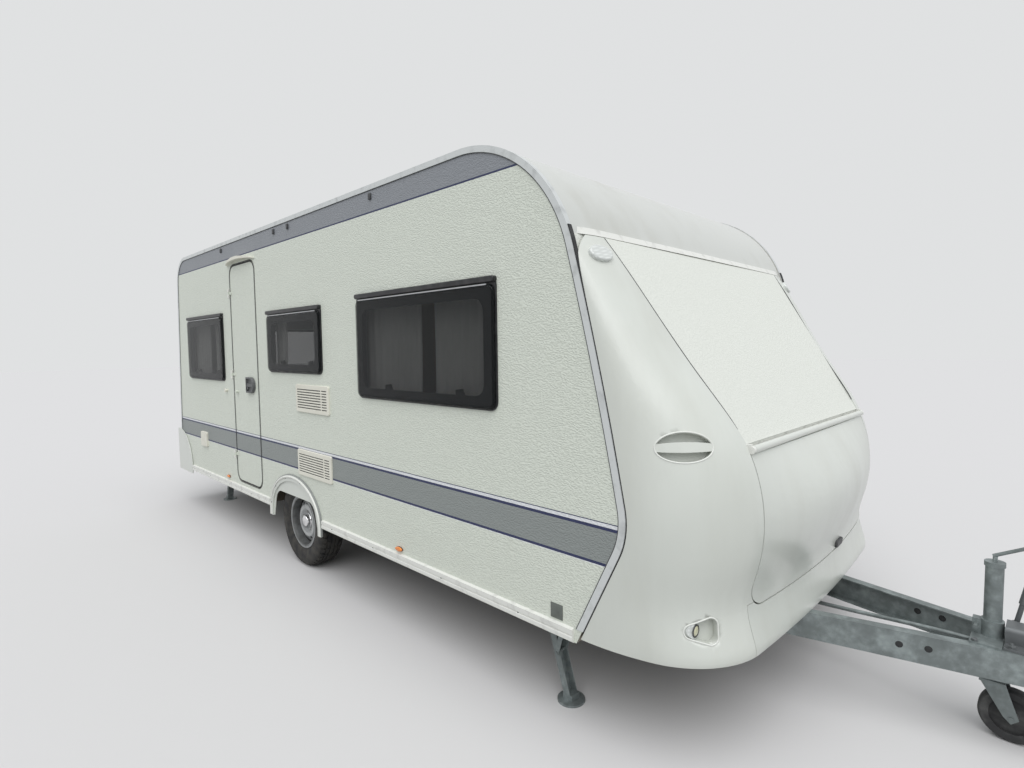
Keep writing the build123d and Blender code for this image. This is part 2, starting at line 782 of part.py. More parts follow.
def tyre():
    """Road tyre about Z."""
    half, shoulder, seat = TYRE_W / 2, TYRE_SHOULDER, RIM_HALF - PIN_FIT
    wall = (RIM_R + TYRE_R) / 2 + SIDE_BULGE
    side = [
        (RIM_R - BEAD_DEEP + PIN_FIT, seat), (RIM_R + BEAD_H, seat),
        (RIM_R + SIDE_FOOT[0], half - SIDE_FOOT[1]),
    ]
    crown = [
        (TYRE_R - shoulder, half - SHOULDER_IN), (TYRE_R - SHOULDER_MID[0], half - SHOULDER_MID[1]),
        (TYRE_R, half - shoulder - TREAD_IN),
    ]
    profile = make_face(
        Polyline(*[(r, -z) for r, z in side])
        + ThreePointArc((side[2][0], -side[2][1]), (wall, -half), (crown[0][0], -crown[0][1]))
        + ThreePointArc(*[(r, -z) for r, z in crown])
        + Line((crown[2][0], -crown[2][1]), crown[2])
        + ThreePointArc(*crown[::-1]) + ThreePointArc(crown[0], (wall, half), side[2])
        + Polyline(*side[::-1]) + Line(side[0], (side[0][0], -side[0][1]))
    )
    return revolve(Plane.XZ * profile, Axis.Z)


def rim():
    """Pressed steel wheel about Z, dished, with a ring of slots, hub cap and brake drum."""
    seat, lip, side = RIM_R - BEAD_DEEP, RIM_R + RIM_LIP, RIM_HALF + RIM_METAL
    well, well_half = seat - RIM_WELL[0], RIM_HALF - RIM_WELL[1]
    step, disc_r = seat - RIM_WELL[0] / 2, seat - DISC_EDGE[0]
    barrel = make_face(Polyline(
        (seat, -RIM_HALF), (seat, RIM_HALF), (lip, RIM_HALF), (lip, side), (step, side), (well, well_half),
        (well, -well_half), (step, -side), (lip, -side), (lip, -RIM_HALF), (seat, -RIM_HALF),
    ))
    disc = make_face(Polyline(
        *DISC_FRONT, (disc_r, DISC_EDGE[1]), (disc_r, DISC_EDGE[2]), *DISC_REAR, DISC_FRONT[0]
    ))
    part = revolve(Plane.XZ * barrel, Axis.Z) + revolve(Plane.XZ * disc, Axis.Z)
    for i in range(RIM_SLOTS):
        slot = Pos(SLOT_CIRCLE, 0, 0) * extrude(Rot(0, 0, 90) * SlotOverall(*SLOT), amount=TYRE_W / 2)
        part -= Rot(0, 0, 360 * i / RIM_SLOTS) * slot
    face_z = DISC_FRONT[0][1]
    cap = Pos(0, 0, face_z) * Cone(HUB_CAP_R, HUB_CAP_R - HUB_CAP_TAPER, HUB_CAP_RISE, align=LOW)
    part += fillet(cap.faces().sort_by(Axis.Z)[-1].edges(), HUB_CAP_EDGE)
    part += Pos(0, 0, DISC_REAR[-1][1] - DRUM_W) * Cylinder(DRUM_R, DRUM_W, align=LOW)
    bore_l = DRUM_W + STUB_PAST + BORE_PAST
    return part - Pos(0, 0, -DRUM_W) * Cylinder(STUB_R + PIN_FIT, bore_l, align=LOW)


road_tyre, road_rim = tyre(), rim()
for side, name in ((-1, "right"), (1, "left")):
    save(f"tyre_{name}", wheel_plane(side) * road_tyre)
    save(f"rim_{name}", wheel_plane(side) * road_rim)

# Coupling
BALL_X = at(AXLE_X + AXLE_TO_BALL)
HOUSING_START = JOCKEY_X + HOUSING_AHEAD
HOUSING_END = HOUSING_START + HOUSING_L
housing_x = (at(HOUSING_START), at(HOUSING_END))
coupling = block(*housing_x, -HOUSING_HALF, HOUSING_HALF, CHASSIS_TOP, CHASSIS_TOP + HOUSING_H)
coupling = fillet(coupling.edges().filter_by(Axis.X).group_by(Axis.Z)[-1], HOUSING_R)
base_half = V_OUT_FRONT - BASE_INSET
base_top = CHASSIS_TOP + BASE_T
coupling += block(at(HOUSING_START), at(V_END), -base_half, base_half, CHASSIS_TOP, base_top)
gaiter_x = (at(HOUSING_END) - GAITER_LAP, at(HOUSING_END) + GAITER_L)
coupling += bar((gaiter_x[0], 0, BALL_Z), (gaiter_x[1], 0, BALL_Z), GAITER_R)
coupling += bar((at(HOUSING_END), 0, BALL_Z), (BALL_X - SHAFT_SHORT, 0, BALL_Z), SHAFT_R)
head = Pos(BALL_X, 0, BALL_Z) * Sphere(BALL_R + SOCKET_WALL)
head += Pos(BALL_X, 0, BALL_Z - SHAFT_R) * Cylinder(BALL_R + SOCKET_WALL, SHAFT_R, align=LOW)
nose_low, nose_top = BALL_Z - SHAFT_R, BALL_Z - NOSE_DROP
nose = block(BALL_X, BALL_X + COUPLING_NOSE, -NOSE_HALF, NOSE_HALF, nose_low, nose_top)
nose = fillet(nose.edges().filter_by(Axis.Z).sort_by(Axis.X)[-2:], NOSE_R)
grip = make_face(Pos(BALL_X, BALL_Z) * Polyline(*GRIP, GRIP[0]))
coupling += head + nose + across(fillet(grip.vertices(), GRIP_R), -GRIP_HALF, GRIP_HALF)
socket = Pos(BALL_X, 0, BALL_Z) * Sphere(BALL_R + BALL_FIT)
mouth = SOCKET_WALL + SHAFT_R
socket += Pos(BALL_X, 0, BALL_Z - mouth) * Cylinder(BALL_R + BALL_FIT, mouth, align=LOW)
coupling -= socket
save("coupling", coupling)

# Handbrake
LEVER_X = at(HOUSING_START + LEVER_IN)
LEVER_Y = HOUSING_HALF + LEVER_OUT
LEVER_Z = CHASSIS_TOP + LEVER_UP
lever_foot = Vector(LEVER_X, LEVER_Y, LEVER_Z)
lever_top = lever_foot + Vector(LEVER_LEAN, 0, LEVER_RISE)
lever_middle = (lever_foot + lever_top) / 2
handbrake = bar(tuple(lever_foot), tuple(lever_top), LEVER_R)
handbrake += bar(tuple(lever_middle), tuple(lever_top), LEVER_GRIP_R)
boss_r, boss_out = LEVER_BOSS
handbrake += bar((LEVER_X, HOUSING_HALF, LEVER_Z), (LEVER_X, LEVER_Y + boss_out, LEVER_Z), boss_r)
save("handbrake", handbrake)

# Jockey wheel
JX = at(JOCKEY_X)
tube_h = JOCKEY_TOP - JOCKEY_LOW
tube_in = JOCKEY_TUBE_R - JOCKEY_TUBE_T
outer_tube = Pos(JX, 0, JOCKEY_LOW) * (
    Cylinder(JOCKEY_TUBE_R, tube_h, align=LOW) - Cylinder(tube_in, tube_h - JOCKEY_CAP_T, align=LOW)
)
head_proud, head_h = JOCKEY_HEAD
outer_tube += Pos(JX, 0, JOCKEY_TOP) * Cylinder(JOCKEY_TUBE_R + head_proud, head_h, align=LOW)
CRANK_Z, crank_x = JOCKEY_TOP + CRANK_UP, JX + CRANK_REACH
outer_tube += bar((JX, 0, JOCKEY_TOP), (JX, 0, CRANK_Z), CRANK_R)
outer_tube += bar((JX - CRANK_ARM_R, 0, CRANK_Z), (crank_x, 0, CRANK_Z + CRANK_RISE), CRANK_ARM_R)
grip_low, grip_top = CRANK_Z + CRANK_GRIP[0], CRANK_Z + CRANK_GRIP[1]
outer_tube += bar((crank_x, 0, grip_low), (crank_x, 0, grip_top), CRANK_GRIP_R)
save("jockey_tube", outer_tube)

CLAMP_X = (JX - CLAMP_BACK, JX + CLAMP_AHEAD)
clamp = block(*CLAMP_X, -CLAMP_HALF, CLAMP_HALF, CHASSIS_TOP, CHASSIS_TOP + CLAMP_T)
clamp += Pos(JX, 0, CHASSIS_TOP) * Cylinder(JOCKEY_TUBE_R + CLAMP_T, CLAMP_H, align=LOW)
web_end, web_half, web_drop = CLAMP_WEB
web_top = CHASSIS_TOP + CLAMP_H - web_drop
clamp += block(CLAMP_X[0], JX - web_end, -web_half, web_half, CHASSIS_TOP + CLAMP_T, web_top)
screw_back, screw_y0, screw_y1, screw_up, screw_r = CLAMP_SCREW
screw_x, screw_z = JX - screw_back, CHASSIS_TOP + screw_up
clamp += bar((screw_x, screw_y0, screw_z), (screw_x, screw_y1, screw_z), screw_r)
clamp -= Pos(JX, 0, CHASSIS_TOP) * Cylinder(JOCKEY_TUBE_R, 2 * CLAMP_H, align=LOW)
save("jockey_clamp", clamp)

STEM_R = JOCKEY_TUBE_R - JOCKEY_TUBE_T - PIN_FIT
stem_h = JOCKEY_TOP - STEM_SHORT - FORK_TOP
pin_room = Cylinder(FORK_PIN_R + PIN_FIT, FORK_PIN_L + FORK_PLATE / 2, align=LOW)
stem = Pos(JX, 0, FORK_TOP) * (Cylinder(STEM_R, stem_h, align=LOW) - pin_room)
save("jockey_stem", stem)

WX = JX + JOCKEY_TRAIL
FORK_IN = JOCKEY_WHEEL_W / 2 + FORK_T
FORK_OUT = FORK_IN + FORK_T
FORK_X = (JX - FORK_BACK, JX + FORK_AHEAD)
plate_top = FORK_TOP - FORK_CLEAR
fork = Pos(JX, 0, plate_top) * Cylinder(FORK_PIN_R, FORK_PIN_L, align=LOW)
fork += block(*FORK_X, -FORK_OUT, FORK_OUT, plate_top - FORK_PLATE, plate_top)
for side in (1, -1):
    cheek = make_face(Polyline(
        (FORK_X[0], plate_top), (FORK_X[1], plate_top), (WX + FORK_TOE[0], JOCKEY_WHEEL_R),
        (WX, JOCKEY_WHEEL_R - FORK_TOE[1]), (WX - FORK_TOE[0], JOCKEY_WHEEL_R), (FORK_X[0], plate_top),
    ))
    fork += across(cheek, *sorted((side * FORK_IN, side * FORK_OUT)))
axle_end = FORK_OUT + FORK_AXLE_PAST
fork += bar((WX, -axle_end, JOCKEY_WHEEL_R), (WX, axle_end, JOCKEY_WHEEL_R), JOCKEY_AXLE_R)
save("jockey_fork", fork)

bore, half_w = JOCKEY_AXLE_R + PIN_FIT, JOCKEY_WHEEL_W / 2
half_section = [
    (bore, half_w), (JOCKEY_HUB_R, half_w), (JOCKEY_HUB_R, JOCKEY_WEB),
    (JOCKEY_WHEEL_R - JOCKEY_TYRE[0][0], JOCKEY_WEB),
    *[(JOCKEY_WHEEL_R - down, half_w - in_side) for down, in_side in JOCKEY_TYRE],
]
wheel_profile = make_face(Polyline(
    *[(r, -z) for r, z in half_section], *half_section[::-1], (bore, -half_w),
))
jockey_wheel = revolve(Plane.XZ * wheel_profile, Axis.Z)
axle_plane = Plane(origin=(WX, 0, JOCKEY_WHEEL_R), x_dir=(1, 0, 0), z_dir=(0, 1, 0))
save("jockey_wheel", axle_plane * jockey_wheel)

# Steadies
LEG_L = (LEG_PIVOT_Z - FOOT_T - LEG_SHORT) / sin(radians(LEG_ANGLE))
FRONT_LEG_Y, REAR_LEG_Y = HALF_W - FRONT_LEG_INSET, RAIL_Y + REAR_LEG_OUT
STEADIES = [
    ("front_right", FRONT_LEG_X, -FRONT_LEG_Y, 1), ("front_left", FRONT_LEG_X, FRONT_LEG_Y, 1),
    ("rear_right", REAR_LEG_X, -REAR_LEG_Y, -1), ("rear_left", REAR_LEG_X, REAR_LEG_Y, -1),
]


def steady(x, y, fold):
    """Leg, strut and fixed parts of one corner steady that folds along fold times X."""
    ax, az = at(x), LEG_PIVOT_Z
    lean = radians(LEG_ANGLE)
    fx = ax + fold * LEG_L * cos(lean)
    bx, bz = ax + fold * STRUT_PIN * cos(lean), az - STRUT_PIN * sin(lean)
    nut_x = ax + fold * 2 * STRUT_PIN * cos(lean)
    width, edge = LEG_WIDTH, LEG_WIDTH / 2
    direction = Vector(fold * cos(lean), 0, -sin(lean))
    plane = Plane(origin=Vector(ax, y, az) - direction * LEG_PAST, x_dir=(0, 1, 0), z_dir=direction)
    hollow = Pos(0, fold * LEG_METAL) * Rectangle(width - 2 * LEG_METAL, LEG_TUBE)
    leg = extrude(plane * (Rectangle(width, LEG_TUBE) - hollow), amount=LEG_L + LEG_PAST)
    leg -= across(Pos(ax, az) * Circle(LEG_PIN_R + PIN_FIT), y - width, y + width)
    leg += bar((bx, y - edge - PIN_PAST, bz), (bx, y + edge + PIN_PAST, bz), LEG_PIN_R)
    leg += Pos(fx, y, 0) * Cylinder(FOOT_R, FOOT_T, align=LOW)
    foot_x = (fx - FOOT_BLOCK, fx + FOOT_BLOCK)
    leg += block(*foot_x, y - edge, y + edge, FOOT_T / 2, FOOT_T + FOOT_BLOCK)

    strut = None
    pin_in, pin_out, pin_r = SPINDLE_R + NUT_PIN[0], edge + NUT_PIN[1], NUT_PIN[2]
    for side in (1, -1):
        near, far = sorted((side * (edge + STRUT_GAP), side * (edge + STRUT_GAP + STRUT_T)))
        link = make_hull(
            (Pos(bx, bz) * Circle(STRUT_ENDS[0])).edges() + (Pos(nut_x, az) * Circle(STRUT_ENDS[1])).edges()
        )
        link -= Pos(bx, bz) * Circle(LEG_PIN_R + PIN_FIT)
        piece = across(link, y + near, y + far)
        piece += bar((nut_x, y + side * pin_in, az), (nut_x, y + side * pin_out, az), pin_r)
        strut = piece if strut is None else strut + piece

    fixed = None
    ear_x, ear_out = (ax - EAR_HALF, ax + EAR_HALF), edge + EAR_GAP + EAR_T
    for side in (1, -1):
        near, far = sorted((side * (edge + EAR_GAP), side * ear_out))
        ear = block(*ear_x, y + near, y + far, LEG_PIVOT_Z - EAR_DROP, CHASSIS_TOP)
        fixed = ear if fixed is None else fixed + ear
    fixed += bar((ax, y - ear_out, az), (ax, y + ear_out, az), LEG_PIN_R)
    fixed += block(*ear_x, y - ear_out, y + ear_out, CHASSIS_TOP - MOUNT_T, CHASSIS_TOP)
    screw_x = (ax + fold * BEARING_NEAR, ax + fold * (BEARING_FAR + BEARING_T))
    screw = bar((screw_x[0], y, az), (screw_x[1], y, az), SPINDLE_R)
    half, drop = BEARING_SIZE
    for reach in (BEARING_NEAR, BEARING_FAR):
        x0, x1 = sorted((ax + fold * reach, ax + fold * (reach + BEARING_T)))
        screw += block(x0, x1, y - half, y + half, az - drop, CHASSIS_TOP)
    return leg, strut, fixed, screw


fixed_parts = []
for name, x, y, fold in STEADIES:
    leg, strut, fixed, screw = steady(x, y, fold)
    save(f"leg_{name}", leg)
    save(f"strut_{name}", strut)
    fixed_parts += [fixed, screw]
save("steady_mounts", *fixed_parts)

# Nose
def edge_at(z):
    """Front of the body's side outline at a height."""
    return (ring_outer & Pos(at(KNEE_X), z) * Rectangle(KNEE_X, 0.1)).bounding_box().max.X


FOOT_Z, HEAD_Z = PANEL_LOW_Z - FOOT_DROP, ROOF_Z - HEAD_DROP
FOOT_X, HEAD_X = edge_at(FOOT_Z) + PANEL_FOOT[0], edge_at(HEAD_Z) + PANEL_HEAD[0]
PANEL_SLOPE = (FOOT_X - HEAD_X) / (HEAD_Z - FOOT_Z)
WIDTH_SLOPE = (PANEL_FOOT[1] - PANEL_HEAD[1]) / (HEAD_Z - FOOT_Z)


def panel_x(z):
    """X of the flat front panel's face at a height."""
    return FOOT_X - (z - FOOT_Z) * PANEL_SLOPE


def panel_half(z):
    """Half width of the flat front panel at a height."""
    return HALF_W - PANEL_FOOT[1] + (z - FOOT_Z) * WIDTH_SLOPE


# Plan sections of the nose: height, edge, front at the corner, half width there, front, first turn
NOSE_ROWS = []
for z, reach, inset, crown, turn in LIP_ROWS:
    edge = edge_at(z)
    NOSE_ROWS.append((z, edge, edge + reach, HALF_W - inset, edge + reach + crown, turn))
for z, run, turn in PANEL_ROWS:
    NOSE_ROWS.append((z, panel_x(z) - run, panel_x(z), panel_half(z), panel_x(z) + PANEL_CROWN, turn))


def plan_points(row, inset):
    """Points of the left half of a plan section, from the wall to the middle."""
    z, edge, front, half, centre, first = row
    turn = radians(first)
    total = pi / 2 - 2 * atan((centre - front) / half)
    run, rise = front - edge, HALF_W - half
    s1, c1, s2, c2 = sin(turn), cos(turn), sin(total), cos(total)
    det = s1 * (c1 - c2) - (s2 - s1) * (1 - c1)
    r1 = (run * (c1 - c2) - rise * (s2 - s1)) / det
    r2 = (rise * s1 - run * (1 - c1)) / det
    x1, y1 = edge, HALF_W - r1
    x2, y2 = x1 + (r1 - r2) * s1, y1 + (r1 - r2) * c1

    def on(cx, cy, r, angle):
        return cx + (r - inset) * sin(angle), cy + (r - inset) * cos(angle)

    return (
        on(x1, y1, r1, 0), on(x1, y1, r1, turn / 2), on(x1, y1, r1, turn),
        on(x2, y2, r2, (turn + total) / 2), on(x2, y2, r2, total), (centre - inset, 0),
    )


def plan_section(row, inset):
    """Closed plan section of the nose, run back behind the wall's edge."""
    wall, m1, joint, m2, corner, middle = plan_points(row, inset)
    back = row[1] - NOSE_BACK

    def flip(p):
        return p[0], -p[1]

    edges = (
        Line((back, wall[1]), wall) + ThreePointArc(wall, m1, joint) + ThreePointArc(joint, m2, corner)
        + ThreePointArc(corner, middle, flip(corner)) + ThreePointArc(flip(corner), flip(m2), flip(joint))
        + ThreePointArc(flip(joint), flip(m1), flip(wall)) + Line(flip(wall), (back, -wall[1]))
        + Line((back, -wall[1]), (back, wall[1]))
    )
    return Pos(0, 0, row[0]) * make_face(edges)


nose_outer = loft([plan_section(row, 0) for row in NOSE_ROWS])
nose_inner = loft([plan_section(row, NOSE_T) for row in NOSE_ROWS])
body_core = across(offset(ring_outer, amount=RAIL_EDGE + NOSE_GAP), -FAR, FAR)
body_solid = across(ring_outer, -FAR, FAR)
TOP_Z = STRIP_Z - SEAM
shell = (nose_outer - nose_inner - body_core) & block(MIDDLE, FAR, -FAR, FAR, CHASSIS_TOP, TOP_Z)


def trapezoid(low, high, grow):
    """Outline of the front panel in Y and Z."""
    a, b = panel_half(low) + grow, panel_half(high) + grow
    return make_face(Polyline((-a, low), (a, low), (b, high), (-b, high), (-a, low)))


panel_hole = upright(trapezoid(LID_TOP_Z, TOP_Z + STRIP_H, 0), MIDDLE, FAR)
lean = atan(PANEL_SLOPE)
inward = (-cos(lean) * PANEL_T, -sin(lean) * PANEL_T)
panel_top, panel_low = (panel_x(TOP_Z), TOP_Z), (panel_x(PANEL_LOW_Z), PANEL_LOW_Z)
panel_profile = make_face(Polyline(
    panel_top, panel_low, (panel_low[0] + inward[0], panel_low[1] + inward[1]),
    (panel_top[0] + inward[0], panel_top[1] + inward[1]), panel_top,
))
panel_area = upright(trapezoid(LID_LOW_Z, TOP_Z + STRIP_H, -SEAM), MIDDLE, FAR)
front_panel = across(panel_profile, -FAR, FAR) & panel_area
front_panel = (front_panel & block(MIDDLE, FAR, -FAR, FAR, 0, TOP_Z)) - body_core
BATTEN_HALF = HALF_W - BATTEN_INSET
batten = nose_inner & block(MIDDLE, FAR, -BATTEN_HALF, BATTEN_HALF, TOP_Z - BATTEN_H, TOP_Z)
front_panel += batten - body_solid
save("front_panel", front_panel)


def lid_outline(grow):
    """Lid outline in Y and Z, with its lower corners rounded."""
    low, high = LID_LOW_Z - grow, LID_TOP_Z + grow
    face = Pos(0, (low + high) / 2) * Rectangle(2 * (LID_HALF + grow), high - low)
    for side in (1, -1):
        face = fillet(face.vertices().sort_by_distance((side * LID_HALF, low, 0))[0], LID_CORNER_R + grow)
    return face


lid_hole = upright(lid_outline(LID_GAP), MIDDLE, FAR)
lid = shell & upright(lid_outline(0), MIDDLE, FAR)
frame_shell = shell - lid_hole - panel_hole
LIP_TOP_Z = LID_LOW_Z + LIP_RISE
SEAM_Y = HALF_W - LIP_SEAM_INSET
near, far = SEAM_Y - SEAM / 2, SEAM_Y + SEAM / 2
apron = frame_shell & block(MIDDLE, FAR, -near, near, 0, LIP_TOP_Z - SEAM)
save("nose_apron", apron)


def nose_plane(y, z):
    """Plane on the nose's outer face at a place of Y and Z, its X level and towards the middle."""
    place, normal = nose_outer.find_intersection_points(Axis((MIDDLE, y, z), (1, 0, 0)))[-1]
    return Plane(origin=place, x_dir=(-normal.Y, normal.X, 0), z_dir=normal)


def pocket(plane, inside, outside, deep):
    """Cup let into the nose behind an opening, and the room in it."""
    start = plane.offset(POCKET_OUT)
    cup = extrude(start * outside, amount=-(POCKET_OUT + deep + POCKET_T)) & nose_outer
    return cup, extrude(start * inside, amount=-(POCKET_OUT + deep))


# Right nose corner with its grab handle and lamp recess
grab_plane = nose_plane(GRAB_AT[0] - HALF_W, GRAB_AT[1])
grab_cup, grab_room = pocket(
    grab_plane,
    Ellipse(GRAB_LONG, GRAB_HIGH),
    Ellipse(GRAB_LONG + POCKET_T, GRAB_HIGH + POCKET_T),
    GRAB_DEEP,
)
bar_long, bar_high, bar_deep = GRAB_BAR
bar_oval = grab_plane.offset(POCKET_OUT) * Ellipse(bar_long, bar_high)
grab_bar = extrude(bar_oval, amount=-POCKET_OUT - bar_deep)
lamp_plane = nose_plane(LAMP_AT[0] - HALF_W, LAMP_AT[1])
bends = [(Pos(x, y) * Circle(r)).edges() for x, y, r in LAMP_RECESS]
lamp_shape = make_hull(bends[0] + bends[1] + bends[2])
lamp_cup, lamp_room = pocket(lamp_plane, lamp_shape, offset(lamp_shape, amount=POCKET_T), LAMP_DEEP)
corner_right = frame_shell - block(MIDDLE, FAR, -far, far, 0, LIP_TOP_Z)
corner_right = corner_right & block(MIDDLE, FAR, -FAR, 0, 0, FAR)
corner_right += grab_cup + lamp_cup
corner_right -= grab_room + lamp_room
corner_right += grab_bar & grab_room & nose_outer
save("nose_corner_right", corner_right)
save("nose_corner_left", mirrored(corner_right))

# Lamps of the nose: a round one in each recess, an oval one high on each corner
lamp_x, lamp_y = lamp_plane.origin.X - LAMP_BACK[0], lamp_plane.origin.Y - LAMP_BACK[1]
low_lamp = bar((lamp_x - 2 * LAMP_DEEP, lamp_y, LAMP_AT[1]), (lamp_x, lamp_y, LAMP_AT[1]), LAMP_R)
low_lamp = low_lamp & lamp_room & nose_outer
marker_plane = nose_plane(MARKER_AT[0] - HALF_W, ROOF_Z - MARKER_AT[1])
high_lamp = extrude(marker_plane.offset(-MARKER_RISE) * Ellipse(*MARKER_OVAL), amount=2 * MARKER_RISE)
outwards = Axis(marker_plane.origin, marker_plane.z_dir)
high_lamp = fillet(high_lamp.faces().sort_by(outwards)[-1].edges(), MARKER_EDGE)
high_lamp = high_lamp - nose_outer
save("front_lamps", low_lamp, high_lamp, mirrored(low_lamp), mirrored(high_lamp))

# Lid with its hinge rail
axis_x, axis_z = FOOT_X + LID_AXIS_OUT, PANEL_LOW_Z - LID_AXIS_DROP
BEAD_HALF = LID_HALF - LID_BEAD_SHORT
bead_x = (axis_x - BEAD_WEB[1], axis_x - BEAD_WEB[0])
lid += block(*bead_x, -BEAD_HALF, BEAD_HALF, LID_TOP_Z - BEAD_LAP, axis_z)
lid += across(Pos(axis_x, axis_z) * Circle(LID_BEAD_R), -BEAD_HALF, BEAD_HALF)
lid -= across(Pos(axis_x, axis_z) * Circle(PIN_R + PIN_FIT), -LID_HALF, LID_HALF)
save("gas_lid", lid)
pin_end = LID_HALF + LID_GAP - BEAD_GAP
lid_hinge = bar((axis_x, -pin_end, axis_z), (axis_x, pin_end, axis_z), PIN_R)
web_x = (axis_x - HINGE_WEB[1], axis_x - HINGE_WEB[0])
lid_hinge += block(*web_x, -pin_end, pin_end, LID_TOP_Z - LID_GAP, PANEL_LOW_Z)
for side in (1, -1):
    y0, y1 = sorted((side * (BEAD_HALF + BEAD_GAP), side * pin_end))
    lid_hinge += across(Pos(axis_x, axis_z) * Circle(LID_BEAD_R), y0, y1)
    lid_hinge += block(axis_x - HINGE_WEB[1], axis_x, y0, y1, axis_z - LID_BEAD_R, PANEL_LOW_Z)
for part in (front_panel, corner_right, mirrored(corner_right)):
    lid_hinge -= part
strip = (nose_outer - body_solid) & block(MIDDLE, FAR, -FAR, FAR, STRIP_Z, STRIP_Z + STRIP_H)
for side in (1, -1):
    near, far = sorted((side * (HALF_W - RAIL_FACE), side * FAR))
    strip -= body_core & block(MIDDLE, FAR, near, far, 0, FAR)
save("front_trims", lid_hinge, strip)

# Latch on the lid's lower edge
latch_y, latch_z, latch_w, latch_h = LATCH
latch_plane = nose_plane(latch_y, latch_z)
latch_face = latch_plane.offset(-LATCH_RISE) * RectangleRounded(latch_w, latch_h, LATCH_R)
latch = extrude(latch_face, amount=2 * LATCH_RISE)
outwards = Axis(latch_plane.origin, latch_plane.z_dir)
latch = fillet(latch.faces().sort_by(outwards)[-1].edges(), LATCH_EDGE)
save("lid_latch", latch - nose_outer)

# Gasket between the edge rails and the nose
gasket_band = offset(ring_outer, amount=RAIL_EDGE + NOSE_GAP) - offset(ring_outer, amount=RAIL_EDGE)
gasket_left = across(gasket_band, HALF_W - GASKET_DEEP, HALF_W)
gasket_left &= block(MIDDLE, FAR, -FAR, FAR, SILL_TOP, STRIP_Z + STRIP_H)
save("nose_gasket", gasket_left, mirrored(gasket_left))

# Gas locker floor
locker_plan = Pos(0, 0, CHASSIS_TOP - NOSE_ROWS[0][0]) * plan_section(NOSE_ROWS[0], NOSE_T + LINING_GAP)
locker_floor = extrude(locker_plan, amount=LOCKER_T) - body_solid
save("floor", floor, locker_floor)

# Entrance door
door_leaf = across(opening(DOOR, DOOR_R, -DOOR_GAP), -HALF_W, -IN_Y)
door_axis = (at(DOOR[0]) + DOOR_GAP / 2, -HALF_W - DOOR_AXIS_OUT)
HINGE_HEIGHTS = [DOOR[2] + DOOR_HINGE_IN, (DOOR[2] + DOOR[3]) / 2, DOOR[3] - DOOR_HINGE_IN]


def wall_hinge(axis_x, axis_y, z, skin, side):
    """Fixed half of a hinge with an upright pin, its plate behind the axis."""
    near, long, thick = HINGE_PLATE
    plate_y = sorted((skin, skin + side * thick))
    plate = block(axis_x - long, axis_x - near, *plate_y, z - 1.5 * KNUCKLE, z + 1.5 * KNUCKLE)
    for low in (z - 1.5 * KNUCKLE, z + 0.5 * KNUCKLE):
        plate += block(axis_x - HINGE_NECK, axis_x, *sorted((skin, axis_y)), low, low + KNUCKLE)
        plate += Pos(axis_x, axis_y, low) * Cylinder(HINGE_R, KNUCKLE, align=LOW)
    plate += Pos(axis_x, axis_y, z - 1.5 * KNUCKLE) * Cylinder(HINGE_PIN_R, 3 * KNUCKLE, align=LOW)
    return plate


def leaf_hinge(axis_x, axis_y, z, skin, side, gap):
    """Moving half of a hinge with an upright pin, its plate ahead of the axis."""
    near, long, thick = HINGE_PLATE
    low, tall = z - 0.5 * KNUCKLE + PIN_FIT, KNUCKLE - 2 * PIN_FIT
    plate_y = sorted((skin, skin + side * thick))
    plate = block(axis_x + gap, axis_x + long, *plate_y, low, low + tall)
    plate += block(axis_x, axis_x + gap + near, *sorted((skin, axis_y)), low, low + tall)
    plate += Pos(axis_x, axis_y, low) * Cylinder(HINGE_R, tall, align=LOW)
    return plate - Pos(axis_x, axis_y, low) * Cylinder(HINGE_PIN_R + PIN_FIT, tall, align=LOW)


wall_hinges = []
for z in HINGE_HEIGHTS:
    door_leaf += leaf_hinge(*door_axis, z, -HALF_W, -1, DOOR_GAP / 2)
    wall_hinges.append(wall_hinge(*door_axis, z, -HALF_W, -1))
door_leaf += peg(*PEGS["door"])
save("entrance_door", door_leaf)


def handle_shape(inset):
    """Outline of the door handle: straight at the rear, half round at the front."""
    x0, x1, z0, z1 = at(HANDLE[0]) + inset, at(HANDLE[1]), HANDLE[2], HANDLE[3]
    radius, middle = (z1 - z0) / 2, (z0 + z1) / 2
    round_x = x1 - radius
    half_round = Pos(round_x, middle) * Circle(radius - inset)
    return half_round + Pos((x0 + round_x) / 2, middle) * Rectangle(round_x - x0, 2 * (radius - inset))


handle_face, handle_z = -HALF_W - HANDLE_PROUD, (HANDLE[2] + HANDLE[3]) / 2
handle = across(handle_shape(0), handle_face, -HALF_W)
handle = fillet(handle.faces().sort_by(Axis.Y)[0].edges(), HANDLE_EDGE / 2)
handle -= across(handle_shape(HANDLE_EDGE), handle_face, handle_face + HANDLE_WELL)
paddle_band = Pos(at(HANDLE[1]), handle_z) * Rectangle(2 * (HANDLE[1] - HANDLE[0]), PADDLE_H)
paddle_y = (handle_face + PADDLE_IN, handle_face + HANDLE_WELL)
handle += across(handle_shape(HANDLE_EDGE) & paddle_band, *paddle_y)
lock = (at(HANDLE[0]) + HANDLE_EDGE + 2 * LOCK_R, handle_z - PADDLE_H)
handle += across(Pos(*lock) * Circle(LOCK_R), *paddle_y)
save("door_handle", handle)

# Service door on the left wall
service_leaf = across(opening(SERVICE_DOOR, SERVICE_R, -LID_GAP), IN_Y, HALF_W)
service_axis = (at(SERVICE_DOOR[0]) + LID_GAP / 2, HALF_W + DOOR_AXIS_OUT)
for z in (SERVICE_DOOR[2] + SERVICE_HINGE_IN, SERVICE_DOOR[3] - SERVICE_HINGE_IN):
    service_leaf += leaf_hinge(*service_axis, z, HALF_W, 1, LID_GAP / 2)
    wall_hinges.append(wall_hinge(*service_axis, z, HALF_W, 1))
save("service_door", service_leaf)
save("door_hinges", *wall_hinges)

